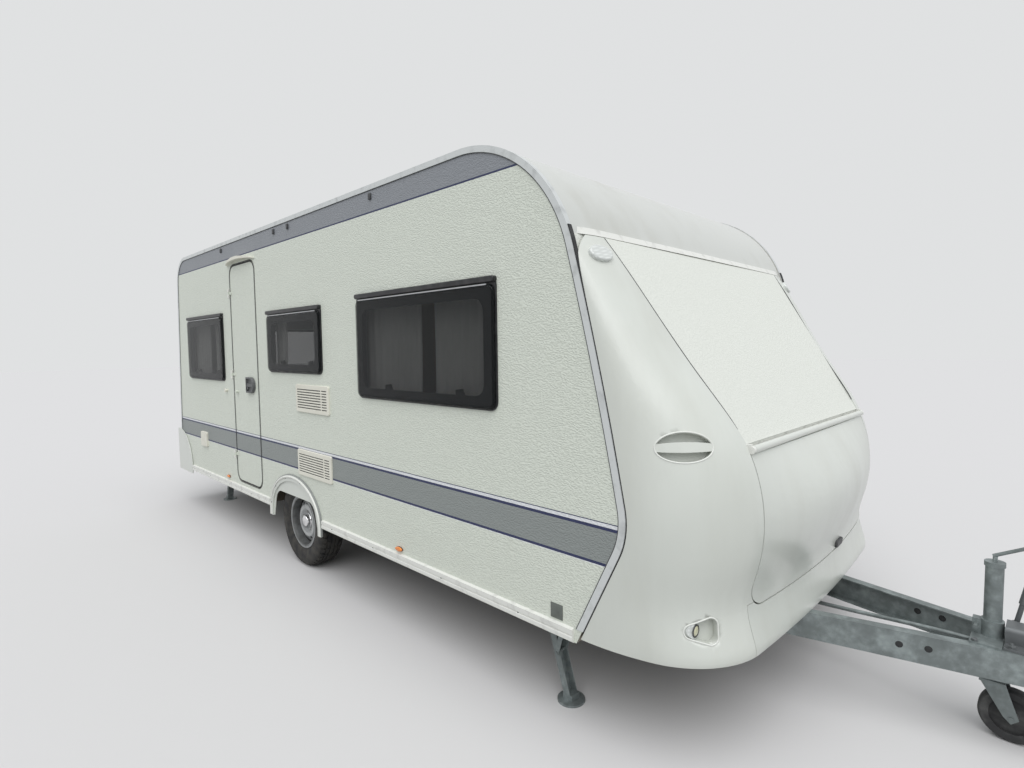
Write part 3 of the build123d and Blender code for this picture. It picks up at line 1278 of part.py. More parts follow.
# Roof hatches
hatch_frames = []
for name, mid, half in HATCHES:
    x0, x1 = at(mid) - half, at(mid) + half
    flange, lap = half + HATCH_FLANGE, half + HATCH_LAP
    axis_x, axis_z = x1 + HATCH_FLANGE, ROOF_Z + HATCH_AXIS_UP
    wall_top = ROOF_Z + HATCH_WALL
    frame = block(x0 - HATCH_FLANGE, axis_x + HATCH_RAIL, -flange, flange, ROOF_Z, wall_top)
    frame += block(x0, x1, -half, half, ROOF_Z - WALL_T, ROOF_Z + HATCH_H)
    bore = half - HATCH_WALL
    frame -= block(x0 + HATCH_WALL, x1 - HATCH_WALL, -bore, bore, 0, FAR)
    lid_low = ROOF_Z + HATCH_LID_UP
    lid_top = lid_low + HATCH_LID_H
    lid_out = block(x0 - HATCH_LAP, x1 + HATCH_LAP, -lap, lap, lid_low, lid_top)
    lid_out = fillet(lid_out.faces().sort_by(Axis.Z)[-1].edges(), HATCH_EDGE)
    x2, x3, y2 = x0 - HATCH_LAP + HATCH_LID_T, x1 + HATCH_LAP - HATCH_LID_T, lap - HATCH_LID_T
    lid_in = block(x2, x3, -y2, y2, ROOF_Z, lid_top - HATCH_LID_T)
    hatch_lid = lid_out - fillet(lid_in.faces().sort_by(Axis.Z)[-1].edges(), HATCH_EDGE - HATCH_LID_T)
    ear_y, ear_half, ear_long = HATCH_EAR
    arm_half, arm_lap, arm_high = HATCH_KNUCKLE
    for y in (-HATCH_HINGE_Y, HATCH_HINGE_Y):
        for end in (1, -1):
            a = y + end * ear_y
            ear_x = (axis_x - ear_long, axis_x + ear_long)
            frame += block(*ear_x, a - ear_half, a + ear_half, wall_top, axis_z)
            frame += bar((axis_x, a - ear_half, axis_z), (axis_x, a + ear_half, axis_z), HINGE_R)
        pin_y = (y - HATCH_PIN_HALF, y + HATCH_PIN_HALF)
        frame += bar((axis_x, pin_y[0], axis_z), (axis_x, pin_y[1], axis_z), HINGE_PIN_R)
        knuckle = bar((axis_x, y - arm_half, axis_z), (axis_x, y + arm_half, axis_z), HINGE_R)
        arm_x, arm_z = (x1 + HATCH_LAP - arm_lap, axis_x), (axis_z - arm_high, axis_z + arm_high)
        knuckle += block(*arm_x, y - arm_half, y + arm_half, *arm_z)
        knuckle -= bar((axis_x, pin_y[0], axis_z), (axis_x, pin_y[1], axis_z), HINGE_PIN_R + PIN_FIT)
        hatch_lid += knuckle
    hatch_frames.append(frame)
    save(f"hatch_lid_{name}", hatch_lid)
save("hatch_frames", *hatch_frames)

# Lamps and small fittings
markers = []
long_half, proud, high_half = SIDE_MARKER
for x, z in MARKERS:
    for side in (1, -1):
        lamp_y = sorted((side * HALF_W, side * (HALF_W + proud)))
        lamp_x = (at(x) - long_half, at(x) + long_half)
        markers.append(block(*lamp_x, *lamp_y, z - high_half, z + high_half))
save("marker_lamps", *markers)

# Rear skirt and lamps
wing_half = WING_FRONT + BUMPER_REACH / 3
quarter = Pos(at(WING_FRONT - wing_half), CHASSIS_TOP) * Ellipse(wing_half, WING_TOP - CHASSIS_TOP)
quarter += Pos(at(WING_FRONT - wing_half), (SKIRT_LOW + CHASSIS_TOP) / 2) * Rectangle(
    2 * wing_half, CHASSIS_TOP - SKIRT_LOW
)
wing = quarter & Pos(at(-BUMPER_REACH) + FAR / 2, SKIRT_LOW + FAR / 2) * Rectangle(FAR, FAR)
left_wing = across(wing, HALF_W + RAIL_T, HALF_W + WING_PROUD)
rear_face = make_face(Polyline(
    (at(-BUMPER_REACH), SKIRT_LOW), (at(-BUMPER_REACH), WING_TOP - WING_EDGE[1]),
    (at(WING_EDGE[0] - BUMPER_REACH), WING_TOP),
    (MIDDLE, WING_TOP), (MIDDLE, SKIRT_LOW), (at(-BUMPER_REACH), SKIRT_LOW),
))
skirt = across(rear_face, -HALF_W - WING_PROUD, HALF_W + WING_PROUD)
skirt = skirt & block(-FAR, at(0), -FAR, FAR, 0, FAR)
skirt = skirt - across(offset(ring_outer, amount=RAIL_EDGE), -FAR, FAR) + left_wing + mirrored(left_wing)
lamp_out, lamp_in, lamp_low, lamp_high = REAR_LAMP
lamp_x = (at(-BUMPER_REACH), at(-BUMPER_REACH) + REAR_LAMP_T)
rear_lamp = block(*lamp_x, HALF_W - lamp_in, HALF_W - lamp_out, lamp_low, lamp_high)
save("rear_skirt", skirt - rear_lamp - mirrored(rear_lamp))
save("rear_lamps", rear_lamp, mirrored(rear_lamp))


# Furniture
def carcass(x0, x1, y0, y1, z1, t=BOARD_T):
    """Hollow furniture box standing on the floor, open below."""
    return block(x0, x1, y0, y1, FLOOR_TOP, z1) - block(x0 + t, x1 - t, y0 + t, y1 - t, 0, z1 - t)


LINED_Y = IN_Y - LINING_GAP
seat_x = (at(SEAT_FROM), at(FRONT_LOW_X - SEAT_SHORT))
soft_x = (seat_x[0] + CUSHION_EDGE, seat_x[1] - CUSHION_EDGE)
soft_out, soft_in = IN_Y - CUSHION_EDGE, IN_Y - SEAT_DEEP + CUSHION_EDGE
back_in = soft_out - SEAT_BACK_T
seat = carcass(*seat_x, IN_Y - SEAT_DEEP, LINED_Y, SEAT_Z)
cushion = block(*soft_x, soft_in, back_in, SEAT_Z + PIN_FIT, SEAT_Z + CUSHION_T)
backrest = block(*soft_x, back_in + CUSHION_GAP, soft_out, SEAT_Z + PIN_FIT, SEAT_Z + SEAT_BACK_H)
bed_x, bed_z = (at(BED[0]), at(BED[1])), BED[2]
bed = carcass(*bed_x, -LINED_Y, LINED_Y, bed_z)
mattress_y = LINED_Y - CUSHION_EDGE
mattress_x = (bed_x[0] + 2 * CUSHION_EDGE, bed_x[1] - CUSHION_EDGE)
mattress = block(*mattress_x, -mattress_y, mattress_y, bed_z + PIN_FIT, bed_z + MATTRESS_T)
save("seat_bases", seat, mirrored(seat), bed)
save("seat_cushions", cushion, backrest, mirrored(cushion), mirrored(backrest), mattress)

room = BOX_HALF + BOX_CLEAR
box_x, box_gap = (at(AXLE_X - room), at(AXLE_X + room)), BOX_IN - BOX_CLEAR
kitchen = block(at(KITCHEN[0]), at(KITCHEN[1]), -LINED_Y, KITCHEN_DEEP - IN_Y, FLOOR_TOP, KITCHEN[2])
kitchen -= block(*box_x, -FAR, -box_gap, 0, BOX_TOP + BOX_CLEAR)
basin_x, basin_y, basin_r, basin_deep = BASIN
kitchen -= Pos(at(basin_x), -basin_y, KITCHEN[2] - basin_deep) * Cylinder(basin_r, CUSHION_T, align=LOW)
save("kitchen_unit", kitchen)
wash_top = ROOF_Z - WALL_T - WASHROOM_SHORT
wash = carcass(at(WASHROOM[0]), at(WASHROOM[1]), IN_Y - WASHROOM_DEEP, LINED_Y, wash_top, WASHROOM_T)
wash -= block(*box_x, box_gap, FAR, 0, BOX_TOP + BOX_CLEAR)
more, deep = SERVICE_ROOM
service_x = (at(SERVICE_DOOR[0] - more), at(SERVICE_DOOR[1] + more))
wash -= block(*service_x, IN_Y - deep, FAR, SERVICE_DOOR[2] - more, SERVICE_DOOR[3] + more)
save("washroom", wash)

# Curtains
curtains, rods = [], []
for side_name, rows in WINDOWS.items():
    side = 1 if side_name == "left" else -1
    near, far = sorted((side * (IN_Y - CURTAIN_IN[1]), side * (IN_Y - CURTAIN_IN[0])))
    rod_y = side * (IN_Y - sum(CURTAIN_IN) / 2)
    hook_near, hook_far = sorted((side * IN_Y, rod_y - side * ROD_R))
    for (x0, x1, z0, z1), wide in zip(rows, CURTAIN_W[side_name]):
        rod_z = z1 + ROD_UP
        drop = (z0 - ROD_UP, rod_z - ROD_R - PIN_FIT)
        for start in (x0 - CURTAIN_PAST, x1 + CURTAIN_PAST - wide):
            curtains.append(block(at(start), at(start + wide), near, far, *drop))
        rod_ends = (x0 - ROD_PAST, x1 + ROD_PAST)
        rod = bar((at(rod_ends[0]), rod_y, rod_z), (at(rod_ends[1]), rod_y, rod_z), ROD_R)
        hook_half, hook_high = ROD_HOOK
        for end in rod_ends:
            hook_x = (at(end) - hook_half, at(end) + hook_half)
            rod += block(*hook_x, hook_near, hook_far, rod_z - hook_high, rod_z + hook_high)
        rods.append(rod)
save("curtains", *curtains)
save("curtain_rods", *rods)
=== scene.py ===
import logging
import math
from dataclasses import dataclass
from enum import Enum
from typing import Iterable, Mapping, Sequence, Union

import bmesh
import bpy
from mathutils import Matrix, Vector
from mathutils.bvhtree import BVHTree


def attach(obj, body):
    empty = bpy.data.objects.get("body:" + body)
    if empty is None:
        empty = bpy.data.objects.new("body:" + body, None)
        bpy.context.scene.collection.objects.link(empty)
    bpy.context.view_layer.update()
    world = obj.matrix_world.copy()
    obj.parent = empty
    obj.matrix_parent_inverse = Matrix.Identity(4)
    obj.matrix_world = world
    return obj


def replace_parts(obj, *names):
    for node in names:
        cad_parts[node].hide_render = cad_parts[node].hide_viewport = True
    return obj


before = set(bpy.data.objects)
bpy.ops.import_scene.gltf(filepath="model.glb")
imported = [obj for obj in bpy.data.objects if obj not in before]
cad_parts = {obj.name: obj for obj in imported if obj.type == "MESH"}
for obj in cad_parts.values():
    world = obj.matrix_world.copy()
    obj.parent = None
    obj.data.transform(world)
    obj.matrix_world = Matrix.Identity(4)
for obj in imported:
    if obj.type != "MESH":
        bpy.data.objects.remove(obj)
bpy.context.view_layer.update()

LOG = logging.getLogger("caravan")
Point = tuple[float, float, float]
Flat = tuple[float, float]
Colour = tuple[float, float, float]
Value = Union["Sock", float, tuple]
REAR = -3.530
HALF_W = 1.150


def at(distance: float) -> float:
    """X in metres of a distance in millimetres from the lower rear corner of the walls."""
    return REAR + distance / 1000


AXLE: Flat = (at(2690), 0.325)


class Side(Enum):
    """The two sides of the caravan, by the sign of Y."""

    RIGHT = -1
    LEFT = 1


@dataclass(frozen=True)
class Opening:
    """An opening in a side wall, in millimetres from the wall's lower rear corner and from the ground."""

    side: Side
    rear: int
    front: int
    low: int
    high: int

    @property
    def corners(self) -> tuple[Flat, Flat]:
        """Its lowest and its highest X and Z, in metres."""
        return (at(self.rear), self.low / 1000), (at(self.front), self.high / 1000)


SIDE_WINDOWS = (
    Opening(Side.RIGHT, 3640, 4833, 1295, 1905), Opening(Side.RIGHT, 2345, 3185, 1419, 1876),
    Opening(Side.RIGHT, 430, 1392, 1317, 1911), Opening(Side.LEFT, 3640, 4833, 1295, 1905),
    Opening(Side.LEFT, 430, 1392, 1317, 1911),
)


class Sock:
    """A node's output that takes part in Python arithmetic."""

    def __init__(self, surface: "Surface", link: bpy.types.NodeSocket) -> None:
        """Keeps the socket and the surface that it belongs to."""
        self.surface = surface
        self.link = link

    def maths(self, operation: str, first: Value, second: Value = 0.0, clamp: bool = False) -> "Sock":
        """Adds a Math node.

        Args:
            operation: The Math node's operation.
            first: Its first value.
            second: Its second value.
            clamp: Whether the result is kept from 0 to 1.

        Returns:
            The node's result.
        """
        settings = {"operation": operation, "use_clamp": clamp}
        return self.surface.node("ShaderNodeMath", settings, {0: first, 1: second})

    def __add__(self, other: Value) -> "Sock":
        """Sum."""
        return self.maths("ADD", self, other)

    __radd__ = __add__

    def __sub__(self, other: Value) -> "Sock":
        """Difference."""
        return self.maths("SUBTRACT", self, other)

    def __rsub__(self, other: Value) -> "Sock":
        """Difference from a number."""
        return self.maths("SUBTRACT", other, self)

    def __mul__(self, other: Value) -> "Sock":
        """Product."""
        return self.maths("MULTIPLY", self, other)

    __rmul__ = __mul__

    def __pow__(self, other: Value) -> "Sock":
        """Power."""
        return self.maths("POWER", self, other)

    def __abs__(self) -> "Sock":
        """Size without its sign."""
        return self.maths("ABSOLUTE", self)

    def ramp(self, level: Value, gain: float) -> "Sock":
        """Rise above a level times a gain, kept from 0 to 1."""
        return self.maths("MULTIPLY", self - level, gain, clamp=True)

    def above(self, level: Value, soft: float = 0.0006) -> "Sock":
        """Mask that is 1 where the value is above a level, with a soft edge.

        Args:
            level: Where the mask turns on.
            soft: Width of the edge, in the value's own unit.

        Returns:
            The mask, from 0 to 1.
        """
        return self.ramp(level, 1 / soft)

    def within(self, low: float, high: float, soft: float = 0.0006) -> "Sock":
        """Mask that is 1 between two levels.

        Args:
            low: Lower level.
            high: Upper level.
            soft: Width of both edges.

        Returns:
            The mask, from 0 to 1.
        """
        return self.above(low, soft) * (1 - self.above(high, soft))

    def wave(self, length: float) -> "Sock":
        """Sine of the value, from 0 to 1, with a given wavelength."""
        return self.maths("SINE", self * (2 * math.pi / length)) * 0.5 + 0.5


class Surface:
    """A material under construction, node by node."""

    def __init__(self, name: str) -> None:
        """Starts an empty material of that name."""
        self.material = bpy.data.materials.new(name)
        self.material.use_nodes = True
        self.tree = self.material.node_tree
        self.tree.nodes.clear()
        self.place = self.node("ShaderNodeTexCoord", {}, {}, "Object")
        self.x, self.y, self.z = (self.node("ShaderNodeSeparateXYZ", {}, {0: self.place}, i) for i in range(3))

    def node(
        self, kind: str, settings: Mapping[str, object], values: Mapping[Union[int, str], Value],
        out: Union[int, str, None] = 0,
    ) -> Sock | None:
        """Adds any node.

        Args:
            kind: The node's type.
            settings: Its properties, set first.
            values: Numbers, colours or links of its input sockets, by name or number.
            out: The output that is returned, if any.

        Returns:
            One output of the node.
        """
        node = self.tree.nodes.new(kind)
        for key, value in settings.items():
            setattr(node, key, value)
        for key, value in values.items():
            socket = node.inputs[key]
            if isinstance(value, Sock):
                self.tree.links.new(value.link, socket)
            elif isinstance(value, tuple) and len(value) == 3 and len(socket.default_value) == 4:
                socket.default_value = (*value, 1.0)
            else:
                socket.default_value = value
        return None if out is None else Sock(self, node.outputs[out])

    def stretched(self, scale: Point, turn: Point = (0.0, 0.0, 0.0)) -> Sock:
        """Object coordinates, scaled and turned.

        Args:
            scale: Factor along each axis.
            turn: Turn about each axis, in degrees.

        Returns:
            The coordinates.
        """
        turned = tuple(math.radians(a) for a in turn)
        return self.node("ShaderNodeMapping", {}, {"Vector": self.place, "Rotation": turned, "Scale": scale})

    def noise(self, scale: float, detail: float = 2.0, vector: Sock | None = None, rough: float = 0.5) -> Sock:
        """Noise from 0 to 1 on Object coordinates.

        Args:
            scale: Waves to a metre.
            detail: Number of finer layers.
            vector: Other coordinates, if any.
            rough: Weight of the finer layers.

        Returns:
            The noise.
        """
        values = {"Vector": vector or self.place, "Scale": scale, "Detail": detail, "Roughness": rough}
        return self.node("ShaderNodeTexNoise", {}, values, "Fac")

    def cells(self, scale: float) -> Sock:
        """Distance from the middle of the nearest cell, with so many cells to a metre."""
        return self.node("ShaderNodeTexVoronoi", {}, {"Vector": self.place, "Scale": scale}, "Distance")

    def from_axle(self) -> Sock:
        """Distance from the line through the road wheels' axle."""
        x, z = self.x - AXLE[0], self.z - AXLE[1]
        return (x * x + z * z) ** 0.5

    def mix(self, first: Value, second: Value, factor: Value) -> Sock:
        """Colour between two others.

        Args:
            first: Colour at factor 0.
            second: Colour at factor 1.
            factor: Share of the second.

        Returns:
            The mixed colour.
        """
        return self.node("ShaderNodeMix", {"data_type": "RGBA"}, {0: factor, 6: first, 7: second}, 2)

    def bump(self, height: Sock, distance: float, strength: float = 1.0, under: Sock | None = None) -> Sock:
        """Normal that follows a height.

        Args:
            height: Height from 0 to 1.
            distance: Depth of a height of 1, in metres.
            strength: Share of it that shows.
            under: Normal that it is laid over.

        Returns:
            The normal.
        """
        values: dict[Union[int, str], Value] = {"Height": height, "Distance": distance, "Strength": strength}
        if under:
            values["Normal"] = under
        return self.node("ShaderNodeBump", {}, values)

    def finish(self, base: Value, rough: Value, metal: Value = 0.0, **values: Value) -> bpy.types.Material:
        """Closes the material with its shader.

        Args:
            base: Base colour.
            rough: Roughness.
            metal: Metallic.
            values: Other sockets of the shader, with _ for a blank.

        Returns:
            The finished material.
        """
        sockets = {key.replace("_", " "): value for key, value in values.items()}
        shader = self.node(
            "ShaderNodeBsdfPrincipled", {}, {"Base Color": base, "Roughness": rough, "Metallic": metal, **sockets}
        )
        self.node("ShaderNodeOutputMaterial", {}, {"Surface": shader}, None)
        return self.material


@dataclass(frozen=True)
class Finish:
    """A finish of one of the caravan's materials."""

    name: str
    slot: str
    colour: Colour

    def material(self) -> bpy.types.Material:
        """The finish's material, made once."""
        name = f"{self.name}_finish"
        return bpy.data.materials.get(name) or self.build(Surface(name))

    def toned(self, factor: float) -> Colour:
        """The finish's colour, darker or lighter by a factor."""
        return tuple(min(1.0, c * factor) for c in self.colour)

    def build(self, surface: Surface) -> bpy.types.Material:
        """Makes the material on an empty surface; each finish has its own."""
        raise NotImplementedError


NAVY: Colour = (0.016, 0.024, 0.085)
WHITE: Colour = (0.78, 0.79, 0.82)


@dataclass(frozen=True)
class Stucco(Finish):
    """Hammered sheet of the walls, off-white, with the grey side stripes on its outer side."""

    striped: bool = True
    top_stripe: float = 2.361
    bands: tuple[tuple[float, float, Colour], ...] = (
        (2.352, 2.361, NAVY), (0.730, 0.733, WHITE), (0.733, 0.745, NAVY), (0.745, 0.876, (0.262, 0.282, 0.276)),
        (0.876, 0.889, NAVY), (0.889, 0.903, WHITE), (0.903, 0.907, NAVY),
    )
    violet_grey: Colour = (0.262, 0.275, 0.300)
    lining: Colour = (0.30, 0.27, 0.22)
    dirt: Colour = (0.36, 0.35, 0.28)
    relief: float = 1.0
    skin: float = 0.002

    def build(self, surface: Surface) -> bpy.types.Material:
        """Makes the sheet: worm-like dimples with painted shade in their hollows, faint streaks of dirt and the
        stripes.

        Args:
            surface: The empty surface.

        Returns:
            The finished material.
        """
        s = surface
        warp = s.node("ShaderNodeTexNoise", {}, {"Vector": s.place, "Scale": 24.0, "Detail": 2.0}, "Color")
        bent = s.node(
            "ShaderNodeVectorMath", {"operation": "MULTIPLY_ADD"}, {0: warp, 1: (0.022, 0.022, 0.022), 2: s.place}
        )
        worms = s.noise(92.0, 0.6, s.node("ShaderNodeMapping", {}, {"Vector": bent, "Scale": (1.0, 1.0, 1.8)}))
        dimples = worms.above(0.36, 0.26)
        dirt = s.noise(1.6, 4.0, s.stretched((1.4, 1.4, 0.25))) * s.noise(9.0, 3.0, s.stretched((2.0, 2.0, 0.3)))
        low = (1.0 - s.z).ramp(0.0, 1.1)
        stain = dirt * (0.12 + low * 0.5)
        tone = s.mix(self.colour, self.dirt, stain.ramp(0.0, 0.6))
        # Painted shade: the hollows between the dimples are darkened towards 80 percent of the sheet's colour.
        tone = s.mix(tone, self.toned(0.80), (1 - dimples) * (0.42 * self.relief))
        if self.striped:
            tone = s.mix(tone, self.violet_grey, s.z.above(self.top_stripe))
            for low_z, high_z, colour in self.bands:
                tone = s.mix(tone, colour, s.z.within(low_z, high_z))
            tone = s.mix(tone, self.lining, 1 - abs(s.y).above(HALF_W - self.skin))
        normal = s.bump(dimples, 0.0015 * self.relief, 0.9)
        return s.finish(tone, 0.42 + dirt * 0.25, Normal=normal, Coat_Weight=0.08, Coat_Roughness=0.3)


@dataclass(frozen=True)
class GelCoat(Finish):
    """Moulded gel coat of the nose, roof and skirt: satin, slightly wavy, with rain streaks."""

    grime: float = 0.30
    splash: float = 0.62
    mud: Colour = (0.40, 0.39, 0.33)

    def build(self, surface: Surface) -> bpy.types.Material:
        """Makes the moulding's satin surface.

        Args:
            surface: The empty surface.

        Returns:
            The finished material.
        """
        s = surface
        streaks = s.noise(2.2, 5.0, s.stretched((3.0, 3.0, 0.35)))
        patches = s.noise(0.9, 3.0)
        mask = (streaks * patches).ramp(0.22, 3.0 * self.grime)
        under = (self.splash - s.z).ramp(0.0, 1.6 * self.grime)
        tone = s.mix(self.colour, self.mud, mask + under * 0.5)
        normal = s.bump(s.noise(900.0, 1.0), 0.00004, 0.5, s.bump(s.noise(3.0, 1.0), 0.0016, 0.4))
        return s.finish(tone, 0.30 + mask * 0.3, Normal=normal, Coat_Weight=0.35, Coat_Roughness=0.18)


@dataclass(frozen=True)
class Moulded(Finish):
    """Moulded plastic or rubber with a fine grain."""

    rough: float = 0.45
    grain: float = 700.0
    depth: float = 0.00008
    wear: Colour = (0.25, 0.25, 0.24)
    worn: float = 0.2

    def build(self, surface: Surface) -> bpy.types.Material:
        """Makes the plastic with its grain and dust.

        Args:
            surface: The empty surface.

        Returns:
            The finished material.
        """
        s = surface
        mask = s.noise(14.0, 4.0).ramp(0.5, 3 * self.worn)
        return s.finish(
            s.mix(self.colour, self.wear, mask), self.rough + mask * 0.3, Normal=s.bump(s.noise(self.grain), self.depth)
        )


@dataclass(frozen=True)
class Acrylic(Finish):
    """Tinted acrylic of the windows, see-through and glossy."""

    clear: float = 0.5

    def build(self, surface: Surface) -> bpy.types.Material:
        """Makes the tinted pane with a faint film of dust.

        Args:
            surface: The empty surface.

        Returns:
            The finished material.
        """
        s = surface
        film = s.noise(5.0, 4.0, s.stretched((1.0, 1.0, 0.4)))
        return s.finish(self.colour, 0.05 + film * 0.06, Alpha=1 - self.clear, Specular_IOR_Level=0.28)


@dataclass(frozen=True)
class Zinc(Finish):
    """Hot dip galvanised steel, mottled in light and dark patches."""

    rust: Colour = (0.16, 0.07, 0.03)

    def build(self, surface: Surface) -> bpy.types.Material:
        """Makes the mottled zinc with white bloom and spots of rust.

        Args:
            surface: The empty surface.

        Returns:
            The finished material.
        """
        s = surface
        bloom = s.noise(11.0, 6.0, rough=0.65)
        tone = s.mix(self.colour, self.toned(1.75), bloom.above(0.44, 0.20) * 0.85)
        tone = s.mix(tone, self.toned(0.62), s.cells(38.0) * 0.5)
        tone = s.mix(tone, self.rust, s.noise(7.0, 7.0, rough=0.7).ramp(0.66, 6.0))
        return s.finish(tone, 0.42 + bloom * 0.25, 0.55, Normal=s.bump(bloom, 0.0004, 0.5))


@dataclass(frozen=True)
class Lacquer(Finish):
    """Lacquered or anodised metal."""

    metal: float = 0.6
    rough: float = 0.35
    brushed: bool = False

    def build(self, surface: Surface) -> bpy.types.Material:
        """Makes the metal with fine lines or specks and a little dirt.

        Args:
            surface: The empty surface.

        Returns:
            The finished material.
        """
        s = surface
        mask = s.noise(18.0, 5.0).ramp(0.52, 2.0)
        lines = s.noise(260.0, 2.0, s.stretched((0.05, 1.0, 1.0)) if self.brushed else None)
        tone = s.mix(self.colour, self.toned(0.45), mask)
        return s.finish(tone, self.rough + mask * 0.3, self.metal, Normal=s.bump(lines, 0.0001, 0.5))


@dataclass(frozen=True)
class WheelPaint(Finish):
    """Silver paint of a pressed wheel, with painted shade and dirt in its dish, a painted highlight on its raised ring
    and painted shadow behind its disc.
    """

    behind: float = 1.040
    dish: Flat = (0.143, 0.176)
    raised: Flat = (0.086, 0.112)
    dish_shade_and_dirt: Colour = (0.050, 0.050, 0.046)
    raised_highlight: Colour = (0.56, 0.57, 0.57)
    brake_dust: Colour = (0.09, 0.085, 0.075)
    shadow: Colour = (0.010, 0.0095, 0.009)

    def build(self, surface: Surface) -> bpy.types.Material:
        """Makes the paint, with painted shade and dirt darkening the dish and a painted highlight lightening the raised
        ring.

        Args:
            surface: The empty surface.

        Returns:
            The finished material.
        """
        s = surface
        radius, dirt = s.from_axle(), s.noise(26.0, 5.0)
        # Painted shade in the dish, mixed with dirt: the recessed ring near the rim is darkened, more where the dirt
        # noise is high.
        dish = radius.within(*self.dish, 0.010) * (0.45 + dirt * 0.6)
        tone = s.mix(self.colour, self.dish_shade_and_dirt, dish.ramp(0.0, 0.85))
        # Painted highlight: the raised ring round the hub is lightened.
        tone = s.mix(tone, self.raised_highlight, radius.within(*self.raised, 0.006) * 0.7)
        tone = s.mix(tone, self.brake_dust, dirt.above(0.50, 0.3) * 0.45)
        # Painted shadow: all of the wheel inboard of the disc, seen through its slots, is near black.
        tone = s.mix(tone, self.shadow, 1 - abs(s.y).above(self.behind, 0.003))
        return s.finish(tone, 0.30 + dirt * 0.25, 0.35, Normal=s.bump(dirt, 0.0003, 0.5))


@dataclass(frozen=True)
class Lens(Finish):
    """Moulded lamp lens with fine upright ribs."""

    pitch: float = 0.006

    def build(self, surface: Surface) -> bpy.types.Material:
        """Makes the ribbed lens.

        Args:
            surface: The empty surface.

        Returns:
            The finished material.
        """
        s = surface
        ribs = s.x.wave(self.pitch) * s.z.wave(self.pitch * 1.6)
        tone = s.mix(self.colour, self.toned(1.25), ribs)
        return s.finish(tone, 0.12, Normal=s.bump(ribs, 0.0006), Coat_Weight=0.8, Coat_Roughness=0.05)


@dataclass(frozen=True)
class TyreRubber(Finish):
    """Worn road tyre: dusty sidewalls with fine rings."""

    dusty: Colour = (0.090, 0.082, 0.070)

    def build(self, surface: Surface) -> bpy.types.Material:
        """Makes the rubber, with rings about the wheel's axle.

        Args:
            surface: The empty surface.

        Returns:
            The finished material.
        """
        s = surface
        radius, dust = s.from_axle(), s.noise(20.0, 5.0)
        rings = radius.wave(0.0075) * radius.within(0.215, 0.300, 0.01)
        tone = s.mix(self.colour, self.dusty, dust.ramp(0.35, 1.8))
        normal = s.bump(s.noise(300.0, 2.0), 0.0003, 0.6, s.bump(rings, 0.0008, 0.5))
        return s.finish(tone, 0.72 + dust * 0.2, Normal=normal)


@dataclass(frozen=True)
class Timber(Finish):
    """Faced plywood with grain along X."""

    def build(self, surface: Surface) -> bpy.types.Material:
        """Makes the veneer.

        Args:
            surface: The empty surface.

        Returns:
            The finished material.
        """
        s = surface
        grain = s.noise(30.0, 5.0, s.stretched((0.06, 1.0, 1.0)))
        tone = s.mix(self.colour, self.toned(0.6), grain)
        return s.finish(tone, 0.4 + grain * 0.2, Normal=s.bump(grain, 0.0002, 0.5), Coat_Weight=0.2)


@dataclass(frozen=True)
class Cloth(Finish):
    """Woven cloth, fine enough for upholstery or a net."""

    pitch: float = 0.0016
    clear: float = 0.0
    fuzz: float = 0.3

    def build(self, surface: Surface) -> bpy.types.Material:
        """Makes the weave from two crossed waves.

        Args:
            surface: The empty surface.

        Returns:
            The finished material.
        """
        s = surface
        weave = (s.x + s.y).wave(self.pitch) * 0.5 + s.z.wave(self.pitch) * 0.5
        tone = s.mix(self.colour, self.toned(0.72), s.noise(6.0, 3.0) * 0.6 + weave * 0.25)
        normal = s.bump(weave, 0.0003, 0.7)
        return s.finish(tone, 0.85, Alpha=1 - self.clear, Normal=normal, Sheen_Weight=self.fuzz)


